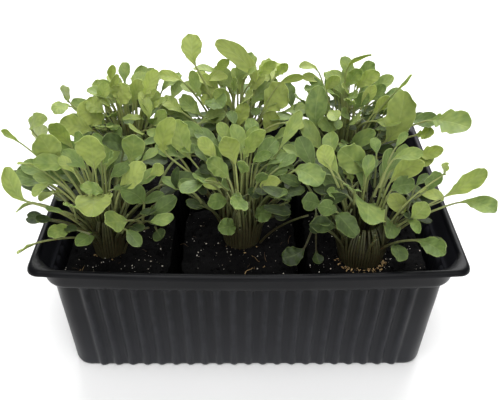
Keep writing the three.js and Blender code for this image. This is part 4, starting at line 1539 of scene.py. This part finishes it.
def model_core(clump):
    """The dark middle of a clump's packed stems, with a domed top."""
    x, y = clump["foot"]
    place = (x * MM, y * MM, (SOIL_TOP - STEM_DEPTH) * MM)
    radius = clump["radius"] * CORE_SHARE * MM
    deselect()
    bpy.ops.mesh.primitive_circle_add(
        vertices=CORE_SIDES, radius=radius, fill_type="NGON", location=place
    )
    core = named("core")
    bpy.ops.object.transform_apply(location=True, rotation=False, scale=False)
    edit_all()
    centre = Vector((x, y, SOIL_TOP)) * MM
    for rise, widen in CORE_RINGS:
        bpy.ops.mesh.extrude_region_move(TRANSFORM_OT_translate={"value": (0, 0, rise * MM)})
        edit = bmesh.from_edit_mesh(core.data)
        for vertex in edit.verts:
            if vertex.select:
                vertex.co.x = mix(centre.x, vertex.co.x, widen)
                vertex.co.y = mix(centre.y, vertex.co.y, widen)
        bmesh.update_edit_mesh(core.data)
    close_edit()
    give(core, plant_materials(), 1)
    shade_smooth(50)
    # The core is darkened fully, partly by age and partly as painted shade
    fill_attribute(core.data, "tint", 1)
    return core


def model_clump(name, clump, templates, stem):
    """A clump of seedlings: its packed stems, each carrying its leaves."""
    random = draws(clump["seed"] * 101)
    large = large_places()
    small = [row for row in small_leaves(clump) if not hides_large(row, clump, large)]
    foot = foot_of(clump)
    grown = [model_core(clump)]
    nodes = {}
    for node, carried_leaves in clump.get("forks", ()):
        nodes.update((k, np.array(node)) for k in carried_leaves)
        beside = np.array(node) / math.hypot(*node[:2]) * (1, 1, 0) * clump["radius"]
        grown.append(grow_stem(stem, None, foot + beside - (0, 0, 2), foot + node, 1.0))
    leaves = [
        seat_leaf(clump, row, random, nodes.get(k)) for k, row in enumerate(large_leaves(clump) + small)
    ]
    count = int(2 * math.pi * clump["radius"] / STEM_SPACING)
    for i in range(count):
        turn = i / count * 2 * math.pi
        node, rows = seedling(clump, turn + (random() - 0.5) * 0.3, (i * 0.618 + 0.3) % 1, random)
        seat, root = stem_seat(clump, turn, 0.95, node[2])
        if meets_large(root, foot + node, large):
            node = (root - foot) * (LEANS_TO, LEANS_TO, 1) + (0, 0, LEANS_UP)
            rows = []
        grown.append(grow_stem(stem, seat, root, foot + node, 0.85 + 0.3 * random()))
        rows = [row for row in rows if not hides_large(row, clump, large)]
        leaves += [seat_leaf(clump, row, random, node) for row in rows]
    # Some leaves are darkened one by one, partly by age and partly as painted shade
    for k, tint in clump["darkened_by_age_and_shade"].items():
        leaves[k]["tint"] = tint
    leaves = [
        leaf for leaf in leaves
        if leaf["kind"] in LARGE_KINDS or not meets_large(leaf["root"], leaf["base"], large)
    ]
    for leaf in leaves:
        kind = choose_blade(leaf, random)
        grown.append(grow_leaf(templates[kind], BLADES[kind], leaf, random))
    return join(grown, "seedling_clump_" + name)


# Stage


def add_softbox(name, place, size, target, power):
    """A large soft light that points at a target."""
    lamp = bpy.data.lights.new(name, "AREA")
    lamp.shape = "RECTANGLE"
    lamp.size = size[0]
    lamp.size_y = size[1]
    lamp.energy = power
    softbox = bpy.data.objects.new(name, lamp)
    bpy.context.scene.collection.objects.link(softbox)
    softbox.location = place
    toward = Vector(target) - softbox.location
    softbox.rotation_euler = toward.to_track_quat("-Z", "Y").to_euler()


def add_camera():
    """The camera at the photograph's angle: its place, how far it looks down, its yaw and its roll."""
    lens = bpy.data.cameras.new("camera")
    lens.sensor_width = SENSOR
    lens.lens = LENS
    lens.clip_start = 0.01
    camera = bpy.data.objects.new("camera", lens)
    bpy.context.scene.collection.objects.link(camera)
    camera.location = EYE * MM
    down, yaw, roll = map(math.radians, CAMERA_TURNS)
    look = Matrix.Rotation(-yaw, 4, "Z") @ Matrix.Rotation(math.pi / 2 - down, 4, "X")
    camera.rotation_euler = (look @ Matrix.Rotation(roll, 4, "Z")).to_euler()
    bpy.context.scene.camera = camera


def add_floor(colour):
    """A plain floor of pale paper, with a faint unevenness."""
    deselect()
    bpy.ops.mesh.primitive_plane_add(size=8)
    floor = named("floor")
    material, tree, shader = new_material("floor_paper", Roughness=0.9, Specular_IOR_Level=0.2)
    coloured = mix_colour(tree, mottle(tree, 6.0, 3.0), rgba(colour), rgba(colour, 0.97))
    tree.links.new(coloured, shader.inputs["Base Color"])
    floor.data.materials.append(material)
    floor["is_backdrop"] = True


# Sizes and colours


def size_setting(name, description, default):
    return FloatProperty(name=name, description=description, unit="LENGTH", default=default)


def power_setting(name, description, default):
    return FloatProperty(name=name, description=description, unit="POWER", default=default)


def count_setting(name, description, default):
    return IntProperty(name=name, description=description, default=default)


def colour_setting(name, description, *default):
    return FloatVectorProperty(name=name, description=description, subtype="COLOR", default=default)


class TrayLook(bpy.types.PropertyGroup):
    """Sizes and colours of the tray."""

    length: size_setting("Length", "Length over the rim", TRAY_HIGH.x - TRAY_LOW.x)
    width: size_setting("Width", "Width over the rim at its ends", 0.19)
    height: size_setting("Height", "Height of the rim", TRAY_HIGH.z)
    sheet: size_setting("Sheet", "Thickness of the plastic", 0.00115)
    rib_pitch: size_setting("Rib pitch", "From one rib to the next", 0.01055)
    rib_depth: size_setting("Rib depth", "How far a rib stands out", 0.0018)
    plastic: colour_setting("Plastic", "Colour of the plastic", 0.0017, 0.0018, 0.0026)
    # Pale plastic for the lip's wear, the painted highlight on the rib crests and the painted floor
    # reflection towards the foot
    rub_and_painted_light: colour_setting("Rub and painted light", "Colour where the plastic is rubbed", 0.0215, 0.0225, 0.0265)
    dusty: colour_setting("Dusty", "Colour of the inside, with soil on it", 0.0125, 0.0128, 0.016)


class SoilLook(bpy.types.PropertyGroup):
    """Sizes and colour of the soil."""

    cells: count_setting("Cells", "Cells along each side of a block's top", 56)
    crumbs: count_setting("Crumbs", "Loose crumbs on each block", 210)
    grains: count_setting("Grains", "Pale mineral grains on each block", 130)
    fibres: count_setting("Fibres", "Brown strands on each block", 14)
    rootlets: count_setting("Rootlets", "Pale curled rootlets on each block", 4)
    husks: count_setting("Husks", "Tan bits round the foot of a clump", 6)
    peat: colour_setting("Peat", "Colour of the soil", 0.0023, 0.0022, 0.0025)


class SeedlingLook(bpy.types.PropertyGroup):
    """Colours of the seedlings."""

    young: colour_setting("Young leaf", "Colour of the youngest leaves", 0.342, 0.4, 0.113)
    # Leaves go from young through mature to grown as they are darkened by age and by painted shade; grown
    # also darkens the stems as painted shade
    mature: colour_setting("Mature leaf", "Colour of leaves half way", 0.15, 0.22, 0.064)
    grown: colour_setting("Grown leaf", "Colour of the oldest leaves", 0.022, 0.036, 0.01)
    vein: colour_setting("Vein", "Colour of the veins", 0.36, 0.42, 0.16)
    under: colour_setting("Underside", "Colour of the leaves' undersides", 0.24, 0.31, 0.12)
    stem: colour_setting("Stem", "Colour of the stems", 0.3, 0.34, 0.12)
    # The root colour is partly soil stain and partly painted shade low in the bundle
    root: colour_setting("Root", "Colour of the stems where they leave the soil", 0.036, 0.031, 0.014)


class StageLook(bpy.types.PropertyGroup):
    """Floor and lights."""

    floor: colour_setting("Floor", "Colour of the floor", 0.96, 0.96, 0.96)
    sky: FloatProperty(name="Sky", description="Brightness of the room", default=0.36)
    key: power_setting("Key light", "Power of the large light above", 22.0)
    front: power_setting("Front light", "Power of the light in front", 12.0)
    back: power_setting("Back light", "Power of the light behind", 22.0)


# Steps


class ARUGULA_OT_tray(bpy.types.Operator):
    """Model the ribbed growing tray"""

    bl_idname = "arugula.tray"
    bl_label = "Growing Tray"

    def execute(self, context):
        look = context.scene.arugula_tray
        tray = model_tray(look)
        give(tray, (plastic_material(look),), 0)
        dress(tray, "tray")
        return {"FINISHED"}


class ARUGULA_OT_soil(bpy.types.Operator):
    """Model the six blocks of potting soil, with the crumbs, grains and fibres on them"""

    bl_idname = "arugula.soil"
    bl_label = "Soil Blocks"

    def execute(self, context):
        look = context.scene.arugula_soil
        specks = (speck_material(name, *finish) for name, finish in SPECKS.items())
        materials = (peat_material(look.peat), *specks)
        bits = model_bits(materials)
        for name, clump in CLUMPS.items():
            node = "soil_" + name
            block = model_soil_block(node, clump["seed"], look)
            give(block, materials, 0)
            lying = scatter_bits(bits, clump, soil_extent(node), look)
            dress(join([block, *lying], block.name), node)
        discard(*bits.values())
        return {"FINISHED"}


class ARUGULA_OT_seedlings(bpy.types.Operator):
    """Model the leaves once, and grow the six clumps from copies of them"""

    bl_idname = "arugula.seedlings"
    bl_label = "Seedlings"

    def execute(self, context):
        look = context.scene.arugula_seedlings
        leaf_material(look)
        stem_material(look)
        templates = {kind: model_leaf(kind) for kind in BLADES}
        stem = model_stem()
        for name, clump in CLUMPS.items():
            piece = model_clump(name, clump, templates, stem)
            dress(piece, "seedlings_" + name)
        discard(*templates.values(), stem)
        return {"FINISHED"}


class ARUGULA_OT_stage(bpy.types.Operator):
    """Set the floor, the soft lights and the camera"""

    bl_idname = "arugula.stage"
    bl_label = "Stage"

    def execute(self, context):
        look = context.scene.arugula_stage
        add_floor(look.floor)
        world = bpy.data.worlds.new("pale_room")
        world.use_nodes = True
        background = world.node_tree.nodes["Background"].inputs
        background["Color"].default_value = (1, 1, 1, 1)
        background["Strength"].default_value = look.sky
        context.scene.world = world
        for name, setting in SOFTBOXES.items():
            add_softbox(name + "_light", *setting, getattr(look, name))
        add_camera()
        context.scene.view_settings.view_transform = "Standard"
        return {"FINISHED"}


class ARUGULA_PT_panel(bpy.types.Panel):
    """Steps that build the potted arugula"""

    bl_idname = "ARUGULA_PT_panel"
    bl_label = "Potted Arugula"
    bl_space_type = "VIEW_3D"
    bl_region_type = "UI"
    bl_category = "Arugula"

    def draw(self, context):
        for step in STEPS:
            self.layout.operator(step.bl_idname)
        for group, look in LOOKS.items():
            box = self.layout.box()
            settings = getattr(context.scene, group)
            for field in look.__annotations__:
                box.prop(settings, field)


STEPS = (ARUGULA_OT_tray, ARUGULA_OT_soil, ARUGULA_OT_seedlings, ARUGULA_OT_stage)
LOOKS = {
    "arugula_tray": TrayLook,
    "arugula_soil": SoilLook,
    "arugula_seedlings": SeedlingLook,
    "arugula_stage": StageLook,
}


def register():
    for look in LOOKS.values():
        bpy.utils.register_class(look)
    for kind in (*STEPS, ARUGULA_PT_panel):
        bpy.utils.register_class(kind)
    for group, look in LOOKS.items():
        setattr(bpy.types.Scene, group, PointerProperty(type=look))


def unregister():
    for group in LOOKS:
        delattr(bpy.types.Scene, group)
    for kind in (ARUGULA_PT_panel, *reversed(STEPS), *LOOKS.values()):
        bpy.utils.unregister_class(kind)


def main():
    register()
    mottle_group()
    grain_group()
    bpy.ops.arugula.tray()
    bpy.ops.arugula.soil()
    bpy.ops.arugula.seedlings()
    bpy.ops.arugula.stage()
    boxes = {"cad": CAD_BOX, "visual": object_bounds()}
    {name: [list(map(float, corner)) for corner in box] for name, box in boxes.items()}


if __name__ == "__main__":
    main()
